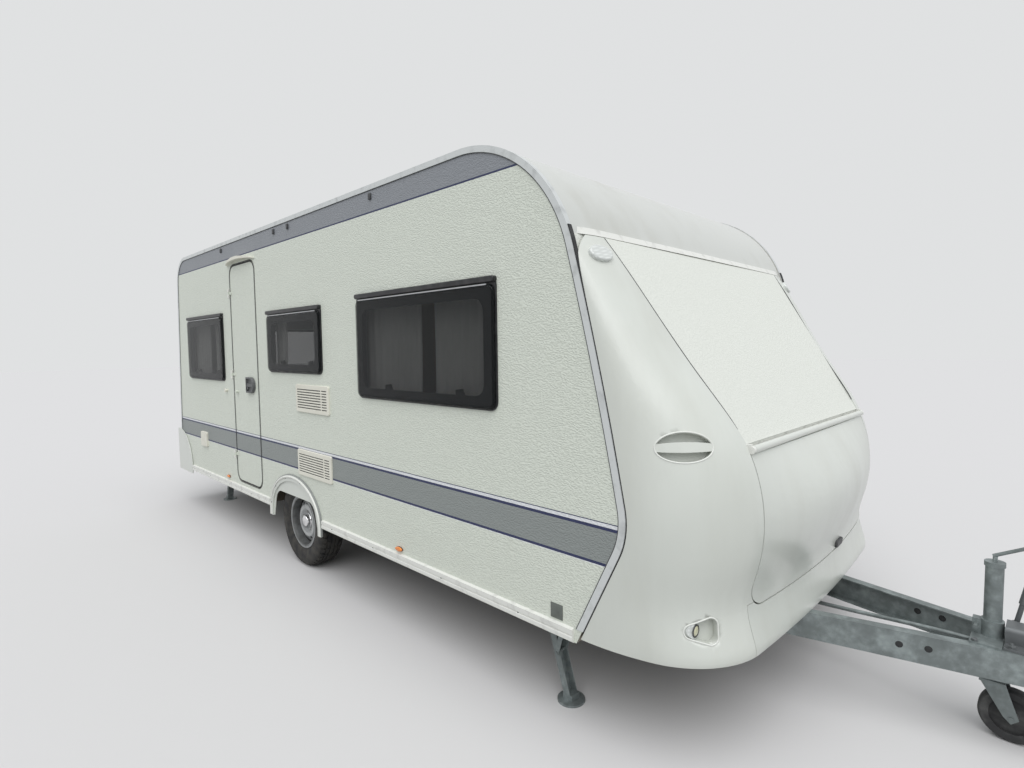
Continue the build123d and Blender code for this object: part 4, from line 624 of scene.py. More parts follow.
class Paint:
    """The finishes of the whole caravan."""

    WALL = Stucco("stucco_wall", "wall_skin", (0.735, 0.768, 0.688))
    PANEL = Stucco("stucco_front", "wall_skin", (0.748, 0.762, 0.708), striped=False, relief=0.5)
    NOSE = GelCoat("gel_coat", "grp_white", (0.665, 0.685, 0.640))
    NOSE_RIM = GelCoat("gel_coat_rim", "grp_white", (0.74, 0.75, 0.71), grime=0.15)
    ROOF = GelCoat("roof_sheet", "grp_white", (0.600, 0.610, 0.580), grime=0.5)
    TRIM = Lacquer("white_trim", "trim_white", (0.78, 0.78, 0.74), metal=0.0, rough=0.32)
    RAIL = Lacquer("edge_rail", "trim_white", (0.66, 0.68, 0.68), metal=0.25, rough=0.30, brushed=True)
    FRAME = Moulded("window_frame", "black_frame", (0.012, 0.012, 0.014), rough=0.38)
    # Dark rubber; the same finish also stands for painted shade in the vent slots and in the holes of the drawbar's
    # webs.
    RUBBER_AND_SHADE = Moulded("gasket", "rubber", (0.020, 0.021, 0.022), rough=0.6)
    CREAM = Moulded("cream_plastic", "cream_plastic", (0.78, 0.76, 0.67), rough=0.42, wear=(0.50, 0.46, 0.35))
    DARK = Moulded("dark_plastic", "dark_plastic", (0.050, 0.051, 0.055), rough=0.5)
    HANDLE = Moulded(
        "handle_plastic", "dark_plastic", (0.105, 0.108, 0.112), rough=0.5, grain=420.0, depth=0.0003, worn=0.6
    )
    PANE = Acrylic("tinted_acrylic", "tinted_acrylic", (0.012, 0.014, 0.015), clear=0.56)
    ZINC = Zinc("galvanised", "galvanised", (0.222, 0.250, 0.250))
    CAST = Lacquer("cast_steel", "cast_steel", (0.16, 0.17, 0.175), metal=0.5, rough=0.5)
    SILVER = WheelPaint("rim_silver", "rim_silver", (0.33, 0.34, 0.345))
    CHROME = Lacquer("hub_chrome", "rim_silver", (0.80, 0.80, 0.81), metal=1.0, rough=0.14)
    SILVER_NUT = Lacquer("nut_plate", "rim_silver", (0.34, 0.34, 0.33), metal=0.6, rough=0.35)
    GREY = Moulded("grey_gasket", "rubber", (0.270, 0.280, 0.272), rough=0.6)
    LAMP = Lens("lamp_glass", "clear_lens", (0.60, 0.58, 0.40), pitch=0.004)
    TYRE = TyreRubber("tyre_rubber", "tyre", (0.017, 0.017, 0.018))
    WHEEL = Moulded("jockey_rubber", "rubber", (0.030, 0.030, 0.031), rough=0.75, worn=0.5)
    AMBER = Lens("amber_lens", "amber_lens", (0.78, 0.22, 0.02))
    RED = Lens("red_lens", "red_lens", (0.42, 0.012, 0.012))
    CLEAR = Lens("clear_lens", "clear_lens", (0.62, 0.64, 0.62), pitch=0.009)
    ALLOY = Lacquer("window_strip", "trim_white", (0.50, 0.51, 0.52), metal=0.7, rough=0.3)
    PRINT = Moulded("pane_print", "black_frame", (0.006, 0.006, 0.007), rough=0.25, worn=0.0)
    SEALANT = Moulded("sealant", "rubber", (0.055, 0.057, 0.058), rough=0.7)
    PLATE = Lacquer("bare_plate", "galvanised", (0.150, 0.165, 0.150), metal=0.3, rough=0.5)
    WOOD = Timber("plywood", "plywood", (0.42, 0.27, 0.14))
    FLOORING = Timber("floor_ply", "floor_ply", (0.20, 0.17, 0.13))
    SEAT = Cloth("upholstery", "upholstery", (0.15, 0.19, 0.28))
    NET = Cloth("net_curtain", "net_curtain", (0.80, 0.80, 0.77), pitch=0.003, clear=0.25)


CORNERS = ("front_right", "front_left", "rear_right", "rear_left")
FINISHED: tuple[tuple[Finish, Sequence[str]], ...] = (
    (Paint.WALL, ("wall_right", "wall_left", "entrance_door", "service_door")),
    (Paint.PANEL, ("rear_wall", "front_wall", "front_panel")),
    (Paint.NOSE, ("arch_covers", "nose_corner_right", "nose_corner_left", "nose_apron", "gas_lid", "rear_skirt")),
    (Paint.ROOF, ("roof",)), (Paint.RAIL, ("edge_rails",)), (Paint.FLOORING, ("floor",)),
    (Paint.TRIM, ("sill_trims", "front_trims", "door_hinges", "curtain_rods")),
    (Paint.FRAME, ("window_frames",)), (Paint.PANE, ("window_panes",)), (Paint.RUBBER_AND_SHADE, ("nose_gasket",)),
    (Paint.CREAM, ("wall_fittings", "hatch_frames", "hatch_lid_front", "hatch_lid_rear")),
    (Paint.CAST, ("coupling", "handbrake")), (Paint.DARK, ("lid_latch",)), (Paint.HANDLE, ("door_handle",)),
    (Paint.ZINC, ("chassis_rails", "drawbar", "axle", "jockey_clamp", "jockey_tube", "jockey_stem", "jockey_fork")),
    (Paint.ZINC, ("steady_mounts", *(f"{part}_{corner}" for part in ("leg", "strut") for corner in CORNERS))),
    (Paint.AMBER, ("marker_lamps",)), (Paint.RED, ("rear_lamps",)), (Paint.CLEAR, ("front_lamps",)),
    (Paint.TYRE, ("tyre_right", "tyre_left")), (Paint.SILVER, ("rim_right", "rim_left")),
    (Paint.WHEEL, ("jockey_wheel",)), (Paint.WOOD, ("seat_bases", "kitchen_unit", "washroom")),
    (Paint.SEAT, ("seat_cushions",)), (Paint.NET, ("curtains",)),
)
NODE_FINISH = {node: finish for finish, nodes in FINISHED for node in nodes}


def merged(node: str) -> bmesh.types.BMesh:
    """Copies a CAD node's mesh, merges its doubled points and joins its flat faces.

    Args:
        node: The CAD node.

    Returns:
        The copy.
    """
    bm = bmesh.new()
    bm.from_mesh(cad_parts[node].data)
    bmesh.ops.remove_doubles(bm, verts=bm.verts[:], dist=1e-5)
    bmesh.ops.dissolve_limit(bm, angle_limit=math.radians(0.5), verts=bm.verts[:], edges=bm.edges[:])
    return bm


def as_object(name: str, bm: bmesh.types.BMesh) -> bpy.types.Object:
    """Turns a shaped mesh into an object.

    Args:
        name: The object's name.
        bm: The mesh, which is freed.

    Returns:
        The object, not yet linked.
    """
    mesh = bpy.data.meshes.new(name)
    bm.to_mesh(mesh)
    bm.free()
    return bpy.data.objects.new(name, mesh)


class Form:
    """A mesh that is shaped with bmesh operators, in metres in the model's frame."""

    def __init__(self, bm: bmesh.types.BMesh | None = None) -> None:
        """Starts with an empty mesh, or with the given one."""
        self.bm = bmesh.new() if bm is None else bm

    def _round(self, edges: Iterable[bmesh.types.BMEdge], width: float, segments: int = 2) -> None:
        """Rounds the given edges."""
        bmesh.ops.bevel(
            self.bm, geom=list(edges), offset=width, segments=segments, affect="EDGES", profile=0.5, material=-1,
            clamp_overlap=True,
        )

    @staticmethod
    def _rims(verts: Iterable[bmesh.types.BMVert]) -> set[bmesh.types.BMEdge]:
        """Edges round the end faces of a bar."""
        return {e for v in verts for e in v.link_edges if any(len(f.verts) > 4 for f in e.link_faces)}

    def block(self, low: Point, high: Point, round_by: float = 0.0, segments: int = 2) -> None:
        """Adds a box between two corners.

        Args:
            low: Lowest corner.
            high: Highest corner.
            round_by: Radius of its edges.
            segments: Steps of each rounded edge.
        """
        middle = [(a + b) / 2 for a, b in zip(low, high)]
        size = [b - a for a, b in zip(low, high)]
        matrix = Matrix.Translation(middle) @ Matrix.Diagonal((*size, 1.0))
        made = bmesh.ops.create_cube(self.bm, size=1.0, matrix=matrix)
        if round_by:
            self._round({edge for vert in made["verts"] for edge in vert.link_edges}, round_by, segments)

    def rod(
        self, start: Point, end: Point, radius: float, far_radius: float | None = None, sides: int = 24,
        round_by: float = 0.0,
    ) -> None:
        """Adds a round bar or cone between two points.

        Args:
            start: Middle of its first end.
            end: Middle of its other end.
            radius: Radius at the first end.
            far_radius: Radius at the other end, if it differs.
            sides: Number of its sides.
            round_by: Radius of its edges.
        """
        a, b = Vector(start), Vector(end)
        turn = (b - a).to_track_quat("Z", "Y").to_matrix().to_4x4()
        matrix = Matrix.Translation((a + b) / 2) @ turn
        made = bmesh.ops.create_cone(
            self.bm, cap_ends=True, segments=sides, radius1=radius, depth=(b - a).length,
            radius2=radius if far_radius is None else far_radius, matrix=matrix,
        )
        if round_by:
            self._round(self._rims(made["verts"]), round_by)

    def oval(self, centre: Point, half_x: float, half_z: float, thick: float, round_by: float) -> None:
        """Adds an oval disc that faces along Y.

        Args:
            centre: Its middle.
            half_x: Half its length.
            half_z: Half its height.
            thick: Its thickness.
            round_by: Radius of its edges.
        """
        turn = Matrix.Rotation(math.pi / 2, 4, "X")
        matrix = Matrix.Translation(centre) @ Matrix.Diagonal((half_x, 1.0, half_z, 1.0)) @ turn
        made = bmesh.ops.create_cone(
            self.bm, cap_ends=True, segments=40, radius1=1.0, radius2=1.0, depth=thick, matrix=matrix
        )
        self._round(self._rims(made["verts"]), round_by, 3)

    def lathe(self, profile: Sequence[Flat], centre: Point, axis: Point, steps: int = 64) -> None:
        """Spins an open profile round an axis and closes it on itself.

        Args:
            profile: Pairs of radius and distance along the axis.
            centre: Where the axis starts.
            axis: Its direction.
            steps: Number of steps round.
        """
        turn = Vector(axis).to_track_quat("Z", "Y").to_matrix().to_4x4()
        matrix = Matrix.Translation(centre) @ turn
        verts = [self.bm.verts.new(matrix @ Vector((r, 0.0, h))) for r, h in profile]
        edges = [self.bm.edges.new(pair) for pair in zip(verts, verts[1:])]
        bmesh.ops.spin(
            self.bm, geom=verts + edges, cent=centre, axis=matrix.to_3x3() @ Vector((0, 0, 1)),
            angle=2 * math.pi, steps=steps, use_merge=True,
        )

    def tube(self, route: Sequence[Point], radius: float, closed: bool = False, fine: int = 4) -> None:
        """Adds a round bead along a smooth line.

        Args:
            route: The line's control points.
            radius: The bead's radius.
            closed: Whether the line closes on itself.
            fine: Steps between two control points.
        """
        data = bpy.data.curves.new("bead_path", "CURVE")
        data.dimensions, data.bevel_depth, data.bevel_resolution = "3D", radius, 3
        data.use_fill_caps = not closed
        spline = data.splines.new("NURBS")
        spline.points.add(len(route) - 1)
        for point, place in zip(spline.points, route):
            point.co = (*place, 1.0)
        spline.order_u, spline.resolution_u = 3, fine
        spline.use_cyclic_u, spline.use_endpoint_u = closed, not closed
        source = bpy.data.objects.new("bead_path", data)
        mesh = bpy.data.meshes.new_from_object(source)
        bpy.data.objects.remove(source)
        self.bm.from_mesh(mesh)

    def _outline(self, low: Flat, high: Flat, corner: float, y: float) -> list[bmesh.types.BMEdge]:
        """Adds a rounded rectangle's outline in X and Z.

        Args:
            low: Its lowest X and Z.
            high: Its highest X and Z.
            corner: Radius of its corners.
            y: Where it lies.

        Returns:
            Its edges.
        """
        middle = Matrix.Translation(((low[0] + high[0]) / 2, y, (low[1] + high[1]) / 2))
        scale = Matrix.Diagonal((high[0] - low[0], 1.0, high[1] - low[1], 1.0))
        turn = Matrix.Rotation(math.pi / 2, 4, "X")
        made = bmesh.ops.create_grid(self.bm, x_segments=1, y_segments=1, size=0.5, matrix=middle @ scale @ turn)
        rounded = bmesh.ops.bevel(
            self.bm, geom=made["verts"], offset=corner, segments=6, affect="VERTICES", profile=0.5, material=-1,
        )
        face = next(f for f in rounded["verts"][0].link_faces)
        edges = list(face.edges)
        bmesh.ops.delete(self.bm, geom=[face], context="FACES_ONLY")
        return edges

    def ring(
        self, low: Flat, high: Flat, corner: float, inner_low: Flat, inner_high: Flat, inner_corner: float, y: float,
        thick: float,
    ) -> None:
        """Adds a flat frame between two rounded rectangles.

        Args:
            low: Lowest X and Z of its outer edge.
            high: Highest X and Z of its outer edge.
            corner: Radius of its outer corners.
            inner_low: Lowest X and Z of its opening.
            inner_high: Highest X and Z of its opening.
            inner_corner: Radius of the opening's corners.
            y: Where its first face lies.
            thick: Its thickness along Y, with a sign.
        """
        outer = self._outline(low, high, corner, y)
        inner = self._outline(inner_low, inner_high, inner_corner, y)
        faces = bmesh.ops.bridge_loops(self.bm, edges=outer + inner)["faces"]
        made = bmesh.ops.extrude_face_region(self.bm, geom=faces)["geom"]
        verts = [g for g in made if isinstance(g, bmesh.types.BMVert)]
        bmesh.ops.translate(self.bm, vec=(0, thick, 0), verts=verts)

    def mirrored(self) -> None:
        """Adds the same form on the other side of the middle plane."""
        copy = bmesh.ops.duplicate(self.bm, geom=self.bm.verts[:] + self.bm.edges[:] + self.bm.faces[:])["geom"]
        verts = [g for g in copy if isinstance(g, bmesh.types.BMVert)]
        bmesh.ops.scale(self.bm, vec=(1, -1, 1), verts=verts)
        bmesh.ops.reverse_faces(self.bm, faces=[g for g in copy if isinstance(g, bmesh.types.BMFace)])

    def piece(self, name: str, finish: Finish, body: str = "root", smooth: float = 35.0) -> bpy.types.Object:
        """Turns the form into a finished piece.

        Args:
            name: The piece's name.
            finish: Its finish.
            body: The body that it rides on.
            smooth: Edges under this angle in degrees are shaded smooth.

        Returns:
            The piece's object.
        """
        bmesh.ops.remove_doubles(self.bm, verts=self.bm.verts[:], dist=1e-6)
        bmesh.ops.recalc_face_normals(self.bm, faces=self.bm.faces[:])
        return Piece.dress(as_object(name, self.bm), finish, body, smooth)


class Piece:
    """What every finished piece gets."""

    @staticmethod
    def dress(obj: bpy.types.Object, finish: Finish, body: str, smooth: float) -> bpy.types.Object:
        """Links, shades, colours and mounts a piece.

        Args:
            obj: The piece's object, not yet linked.
            finish: Its finish.
            body: The body that it rides on.
            smooth: Edges under this angle in degrees are shaded smooth.

        Returns:
            The object.
        """
        bpy.context.scene.collection.objects.link(obj)
        obj.data.shade_smooth()
        obj.data.set_sharp_from_angle(angle=math.radians(smooth))
        obj.data.materials.clear()
        obj.data.materials.append(finish.material())
        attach(obj, body)
        LOG.info("%s on %s, %d faces", obj.name, body, len(obj.data.polygons))
        return obj

    @staticmethod
    def skin(node: str, body: str, smooth: float = 30.0) -> None:
        """Makes a smooth copy of a CAD node that stands for it.

        Args:
            node: The CAD node.
            body: The body that it rides on.
            smooth: Edges under this angle in degrees are shaded smooth.
        """
        obj = Piece.dress(as_object(f"{node}_skin", merged(node)), NODE_FINISH[node], body, smooth)
        obj.modifiers.new("normals", "WEIGHTED_NORMAL").keep_sharp = True
        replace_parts(obj, node)


@dataclass
class Studio:
    """Pale floor, soft light and the camera at the photograph's place."""

    eye: Point = (3.130, -2.913, 1.585)
    yaw: float = 44.62
    pitch: float = 3.74
    roll: float = 0.707
    lens: float = 19.856
    floor_half: float = 60.0
    key: float = 2.1
    sky: float = 0.62
    soft: float = 70.0
    backdrop: Colour = (0.745, 0.755, 0.760)
    ground: Colour = (0.648, 0.637, 0.637)
    ground_bounce: Colour = (0.40, 0.40, 0.39)
    light: Colour = (0.93, 0.97, 1.0)
    towards: Point = (0.50, -0.50, 1.20)

    def build(self) -> None:
        """Makes the floor, the world, the light and the camera."""
        self.floor()
        self.world()
        self.sun()
        self.camera()

    def floor(self) -> None:
        """Pale floor that keeps the shadow."""
        form = bmesh.new()
        bmesh.ops.create_grid(form, x_segments=1, y_segments=1, size=self.floor_half)
        obj = as_object("floor_plane", form)
        bpy.context.scene.collection.objects.link(obj)
        surface = Surface("studio_floor")
        path = {name: surface.node("ShaderNodeLightPath", {}, {}, f"Is {name} Ray") for name in ("Camera", "Glossy")}
        seen = path["Camera"].maths("MAXIMUM", path["Camera"], path["Glossy"])
        tone = surface.mix(self.ground_bounce, self.ground, seen)
        obj.data.materials.append(surface.finish(tone, 0.9, Specular_IOR_Level=0.0))

    def world(self) -> None:
        """Soft light from all round, with a pale background where the camera sees it."""
        world = bpy.data.worlds.new("studio_world")
        bpy.context.scene.world = world
        world.use_nodes = True
        nodes, links = world.node_tree.nodes, world.node_tree.links
        nodes.clear()
        output, mix = nodes.new("ShaderNodeOutputWorld"), nodes.new("ShaderNodeMixShader")
        seen, light = nodes.new("ShaderNodeBackground"), nodes.new("ShaderNodeBackground")
        light.inputs["Color"].default_value = (*self.light, 1.0)
        light.inputs["Strength"].default_value = self.sky
        seen.inputs["Color"].default_value = (*self.backdrop, 1.0)
        path = nodes.new("ShaderNodeLightPath")
        first, second = nodes.new("ShaderNodeMath"), nodes.new("ShaderNodeMath")
        first.operation = second.operation = "MAXIMUM"
        links.new(path.outputs["Is Camera Ray"], first.inputs[0])
        links.new(path.outputs["Is Glossy Ray"], first.inputs[1])
        links.new(first.outputs[0], second.inputs[0])
        links.new(path.outputs["Is Transmission Ray"], second.inputs[1])
        links.new(second.outputs[0], mix.inputs[0])
        links.new(light.outputs[0], mix.inputs[1])
        links.new(seen.outputs[0], mix.inputs[2])
        links.new(mix.outputs[0], output.inputs["Surface"])
        bpy.context.scene.view_settings.view_transform = "Standard"

    def sun(self) -> None:
        """Adds a wide, soft light that comes from one side of the sky."""
        light = bpy.data.lights.new("sky_light", "SUN")
        light.angle, light.energy = math.radians(self.soft), self.key
        obj = bpy.data.objects.new("sky_light", light)
        obj.rotation_euler = Vector(self.towards).to_track_quat("Z", "Y").to_euler()
        bpy.context.scene.collection.objects.link(obj)

    def camera(self) -> None:
        """Puts the camera where the photograph was taken."""
        a, e, r = (math.radians(v) for v in (self.yaw, self.pitch, self.roll))
        forward = Vector((-math.sin(a) * math.cos(e), math.cos(a) * math.cos(e), -math.sin(e)))
        level = Vector((math.cos(a), math.sin(a), 0.0))
        down = forward.cross(level)
        right = math.cos(r) * level + math.sin(r) * down
        down = -math.sin(r) * level + math.cos(r) * down
        matrix = Matrix((right, -down, -forward)).transposed().to_4x4()
        matrix.translation = self.eye
        data = bpy.data.cameras.new("photo_camera")
        data.lens, data.sensor_width, data.clip_end = self.lens, 36.0, 500.0
        obj = bpy.data.objects.new("photo_camera", data)
        obj.matrix_world = matrix
        bpy.context.scene.collection.objects.link(obj)
        bpy.context.scene.camera = obj


@dataclass
class Shell:
    """Walls, roof, nose and all CAD nodes that keep their own shape."""

    smooth_nodes: tuple[tuple[str, str], ...] = (
        ("nose_corner_right", "root"), ("nose_corner_left", "root"), ("nose_apron", "root"), ("gas_lid", "gas_lid"),
        ("roof", "root"), ("arch_covers", "root"), ("rear_skirt", "root"), ("coupling", "root"),
        ("rim_right", "wheel_right"), ("rim_left", "wheel_left"), ("window_frames", "root"),
        ("window_panes", "root"), ("hatch_lid_front", "hatch_lid_front"), ("hatch_lid_rear", "hatch_lid_rear"),
        ("door_handle", "entrance_door"), ("edge_rails", "root"), ("jockey_tube", "root"),
        ("jockey_wheel", "jockey_wheel"),
    )

    def build(self) -> None:
        """Gives each node its finish, and each curved one a smooth skin."""
        for node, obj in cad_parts.items():
            obj.data.materials.clear()
            obj.data.materials.append(NODE_FINISH[node].material())
        for node, body in self.smooth_nodes:
            Piece.skin(node, body)


@dataclass
class RoadWheel:
    """A road wheel's tread, nuts and hub cap."""

    side: Side
    y: float = 1.022
    grooves: tuple[float, ...] = (-0.045, -0.016, 0.016, 0.045)
    groove_half: float = 0.0042
    groove_deep: float = 0.0075
    crown: float = 0.9
    flank: tuple[Flat, ...] = (
        (0.188, 0.069), (0.197, 0.071), (0.214, 0.084), (0.244, 0.0915), (0.272, 0.0925), (0.294, 0.0895),
        (0.305, 0.085), (0.311, 0.079), (0.3215, 0.066),
    )
    steps: int = 132
    # Rows of cut blocks: depth below the crown, distances from the middle, one step in so many, margin, cut.
    blocks: tuple[tuple[float, float, float, int, float, float], ...] = (
        (0.0120, 0.050, 0.100, 3, 0.0012, -0.005), (0.0035, 0.020, 0.042, 4, 0.0035, -0.004),
    )
    nuts: int = 5
    nut_circle: float = 0.068
    nut_face: float = 0.028
    cap: tuple[Flat, ...] = (
        (0.0, 0.0300), (0.0500, 0.0300), (0.0510, 0.0325), (0.0475, 0.0345), (0.0455, 0.0400), (0.0430, 0.0580),
        (0.0395, 0.0632), (0.0300, 0.0655), (0.0150, 0.0668), (0.0, 0.0670),
    )

    @property
    def body(self) -> str:
        """The body that the wheel's pieces ride on."""
        return f"wheel_{self.side.name.lower()}"

    def profile(self) -> list[Flat]:
        """Half section of the tyre, from bead to bead over the tread."""
        tread: list[Flat] = []
        for place in self.grooves:
            for step, depth in ((-1.0, 0.0), (-0.7, self.groove_deep), (0.7, self.groove_deep), (1.0, 0.0)):
                height = place + step * self.groove_half
                tread.append((AXLE[1] - self.crown * height * height - depth, height))
        return [(r, -h) for r, h in self.flank] + tread + list(self.flank[::-1])

    def build(self) -> None:
        """Makes the tyre with its tread blocks, the wheel's nuts and its hub cap."""
        out, name = self.side.value, self.side.name.lower()
        (x, radius), y = AXLE, out * self.y
        form = Form()
        form.lathe(self.profile(), (x, y, radius), (0, out, 0), self.steps)
        bmesh.ops.recalc_face_normals(form.bm, faces=form.bm.faces[:])
        cuts: list[list[bmesh.types.BMFace]] = [[] for _ in self.blocks]
        for face in form.bm.faces:
            middle = face.calc_center_median()
            off, reach = abs(middle.y - y), math.hypot(middle.x - x, middle.z - radius)
            turn = math.atan2(middle.x - x, middle.z - radius) + math.pi
            sector = int(turn / (2 * math.pi) * self.steps)
            for faces, (below, near, far, every, _, _) in zip(cuts, self.blocks):
                if reach > radius - below and near < off < far and sector % every == 0:
                    faces.append(face)
                    break
        for faces, (_, _, _, _, margin, depth) in zip(cuts, self.blocks):
            bmesh.ops.inset_individual(form.bm, faces=faces, thickness=margin, depth=depth)
        tyre = form.piece(f"tyre_tread_{name}", Paint.TYRE, self.body)
        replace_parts(tyre, f"tyre_{name}")
        nuts, cap = Form(), Form()
        for index in range(self.nuts):
            angle = 2 * math.pi * index / self.nuts + 0.3
            nut_x, nut_z = x + self.nut_circle * math.cos(angle), radius + self.nut_circle * math.sin(angle)
            for low, high, near, far, sides, soft in (
                (-0.003, 0.014, 0.0115, 0.0105, 6, 0.0012), (0.012, 0.017, 0.0075, 0.0055, 16, 0.0),
            ):
                ends = [(nut_x, out * (self.y + self.nut_face + step), nut_z) for step in (low, high)]
                nuts.rod(*ends, near, far, sides=sides, round_by=soft)
        nuts.piece(f"wheel_nuts_{name}", Paint.SILVER_NUT, self.body)
        cap.lathe(self.cap, (x, y, radius), (0, out, 0), 48)
        cap.piece(f"hub_cap_{name}", Paint.CHROME, self.body, smooth=50.0)


@dataclass
class Curtain:
    """One gathered net curtain beside a window."""

    name: str
    low: Point
    high: Point
    folds: int = 9
    depth: float = 0.012
    fold_steps: int = 8
    rows: int = 12
    wander: Point = (0.5, 3.1, 7.0)
    flare: Flat = (0.55, 0.40)
    mean_flare: float = 0.75
    cloth_t: float = 0.0006

    def build(self) -> None:
        """Makes the pleated sheet, hung from its rod."""
        form = bmesh.new()
        width, height = self.high[0] - self.low[0], self.high[2] - self.low[2]
        columns = self.folds * self.fold_steps
        turn = Matrix.Rotation(math.pi / 2, 4, "X")
        scale = Matrix.Diagonal((width / 2, 1.0, height / 2, 1.0))
        centre = Matrix.Translation([(a + b) / 2 for a, b in zip(self.low, self.high)])
        bmesh.ops.create_grid(form, x_segments=columns, y_segments=self.rows, size=1.0, matrix=centre @ scale @ turn)
        for vert in form.verts:
            share = (vert.co.x - self.low[0]) / width
            drop = (self.high[2] - vert.co.z) / height
            stray = self.wander[0] * math.sin(self.wander[1] * drop + self.wander[2] * share)
            swing = math.sin(share * self.folds * 2 * math.pi + stray)
            vert.co.y += self.depth * (self.flare[0] + self.flare[1] * drop) * swing
        swings = [math.sin(k * 2 * math.pi / self.fold_steps) for k in range(columns + 1)]
        length = sum(
            math.hypot(width / columns, self.depth * self.mean_flare * (b - a)) for a, b in zip(swings, swings[1:])
        )
        obj = Piece.dress(as_object(self.name, form), Paint.NET, "root", 180.0)
        thick = obj.modifiers.new("thickness", "SOLIDIFY")
        thick.thickness, thick.offset = self.cloth_t, 0.0
        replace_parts(obj, "curtains")


@dataclass
class Cushion:
    """A foam cushion with a crowned, sewn cover."""

    name: str
    low: Point
    high: Point
    voxel: float = 0.014
    swell: float = 0.012
    cap: float = 0.014
    pressure: float = 4.0
    frames: int = 20
    channels: int = 0
    seam: tuple[float, float, float] = (0.010, 0.006, 0.030)
    channel: Flat = (0.018, 0.010)

    def build(self) -> None:
        """Makes the cover, blows it up and sews its seams."""
        form = Form()
        inner_low = tuple(c + self.swell for c in self.low)
        inner_high = tuple(c - self.swell for c in self.high)
        form.block(inner_low, inner_high, 0.030, 3)
        obj = form.piece(self.name, Paint.SEAT, smooth=60.0)
        self.remesh(obj)
        self.inflate(obj)
        self.sew(obj)
        finer = obj.modifiers.new("finer", "SUBSURF")
        finer.levels = finer.render_levels = 1
        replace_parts(obj, "seat_cushions")

    def remesh(self, obj: bpy.types.Object) -> None:
        """Gives the cover an even mesh.

        Args:
            obj: The cover.
        """
        modifier = obj.modifiers.new("even", "REMESH")
        modifier.mode, modifier.voxel_size, modifier.use_smooth_shade = "VOXEL", self.voxel, True
        self.settle(obj)

    def settle(self, obj: bpy.types.Object) -> None:
        """Puts the result of the modifiers into the mesh.

        Args:
            obj: The cover.
        """
        graph = bpy.context.evaluated_depsgraph_get()
        mesh = bpy.data.meshes.new_from_object(obj.evaluated_get(graph))
        obj.modifiers.clear()
        obj.data = mesh

    def inflate(self, obj: bpy.types.Object) -> None:
        """Lets the cover swell as cloth under pressure, and caps how far each point moves.

        Args:
            obj: The cover.
        """
        before = [vert.co.copy() for vert in obj.data.vertices]
        cloth = obj.modifiers.new("cloth", "CLOTH")
        cloth.settings.use_pressure = True
        cloth.settings.uniform_pressure_force = self.pressure
        cloth.settings.effector_weights.gravity = 0.0
        cloth.point_cache.frame_start, cloth.point_cache.frame_end = 1, self.frames
        for number in range(1, self.frames + 1):
            bpy.context.scene.frame_set(number)
        self.settle(obj)
        bpy.context.scene.frame_set(1)
        for vert, start in zip(obj.data.vertices, before):
            move = vert.co - start
            if move.length > self.cap:
                vert.co = start + move * (self.cap / move.length)

    def sew(self, obj: bpy.types.Object) -> None:
        """Draws in the seam round the cushion's edge and its sewn channels, and keeps it in its box.

        Args:
            obj: The cover.
        """
        width = self.high[1] - self.low[1]
        seam_half, seam_deep, seam_reach = self.seam
        channel_half, channel_deep = self.channel
        for vert in obj.data.vertices:
            for axis in range(3):
                vert.co[axis] = min(max(vert.co[axis], self.low[axis]), self.high[axis])
            middle = (self.low[2] + self.high[2]) / 2
            seam = math.exp(-(((vert.co.z - middle) / seam_half) ** 2)) * seam_deep
            for axis in (0, 1):
                side = (self.low[axis] + self.high[axis]) / 2
                reach = (self.high[axis] - self.low[axis]) / 2
                if abs(vert.co[axis] - side) > reach - seam_reach:
                    vert.co[axis] -= math.copysign(seam, vert.co[axis] - side)
            if self.channels:
                share = (vert.co.y - self.low[1]) / width * self.channels
                away = (share - round(share)) * width / self.channels
                dip = math.exp(-((away / channel_half) ** 2)) * channel_deep
                vert.co.z -= math.copysign(dip, vert.co.z - middle)
        obj.data.shade_smooth()


@dataclass
class Interior:
    """Curtains and upholstery, seen through the windows."""

    inner_y: float = 1.118
    curtain_in: float = 0.033
    widths: tuple[int, ...] = (560, 190, 440, 560, 440)
    past: int = 20
    hems: tuple[int, int] = (30, 22)
    pleat: float = 62.0
    seat_x: Flat = (at(3650), at(5150))
    seat_low: float = 0.8303
    seat_parts: tuple[tuple[str, float, float, float], ...] = (
        ("cushion", 0.508, 0.988, 0.950), ("back", 0.989, 1.108, 1.260),
    )
    mattress: tuple[Point, Point] = ((at(130), -1.105, 0.7803), (at(1440), 1.105, 0.910))

    def build(self) -> None:
        """Makes two curtains to a window, then the seats, their backs and the mattress."""
        for number, (window, wide) in enumerate(zip(SIDE_WINDOWS, self.widths), 1):
            middle = window.side.value * (self.inner_y - self.curtain_in)
            low_z, high_z = (window.low - self.hems[0]) / 1000, (window.high + self.hems[1]) / 1000
            for end, start in (("rear", window.rear - self.past), ("front", window.front + self.past - wide)):
                low, high = (at(start), middle, low_z), (at(start + wide), middle, high_z)
                Curtain(f"curtain_{number}_{end}", low, high, folds=round(wide / self.pleat)).build()
        for side in Side:
            for part, near, far, top in self.seat_parts:
                near_y, far_y = sorted((side.value * near, side.value * far))
                low, high = (self.seat_x[0], near_y, self.seat_low), (self.seat_x[1], far_y, top)
                Cushion(f"seat_{part}_{side.name.lower()}", low, high).build()
        Cushion("mattress", *self.mattress, voxel=0.022, channels=8).build()


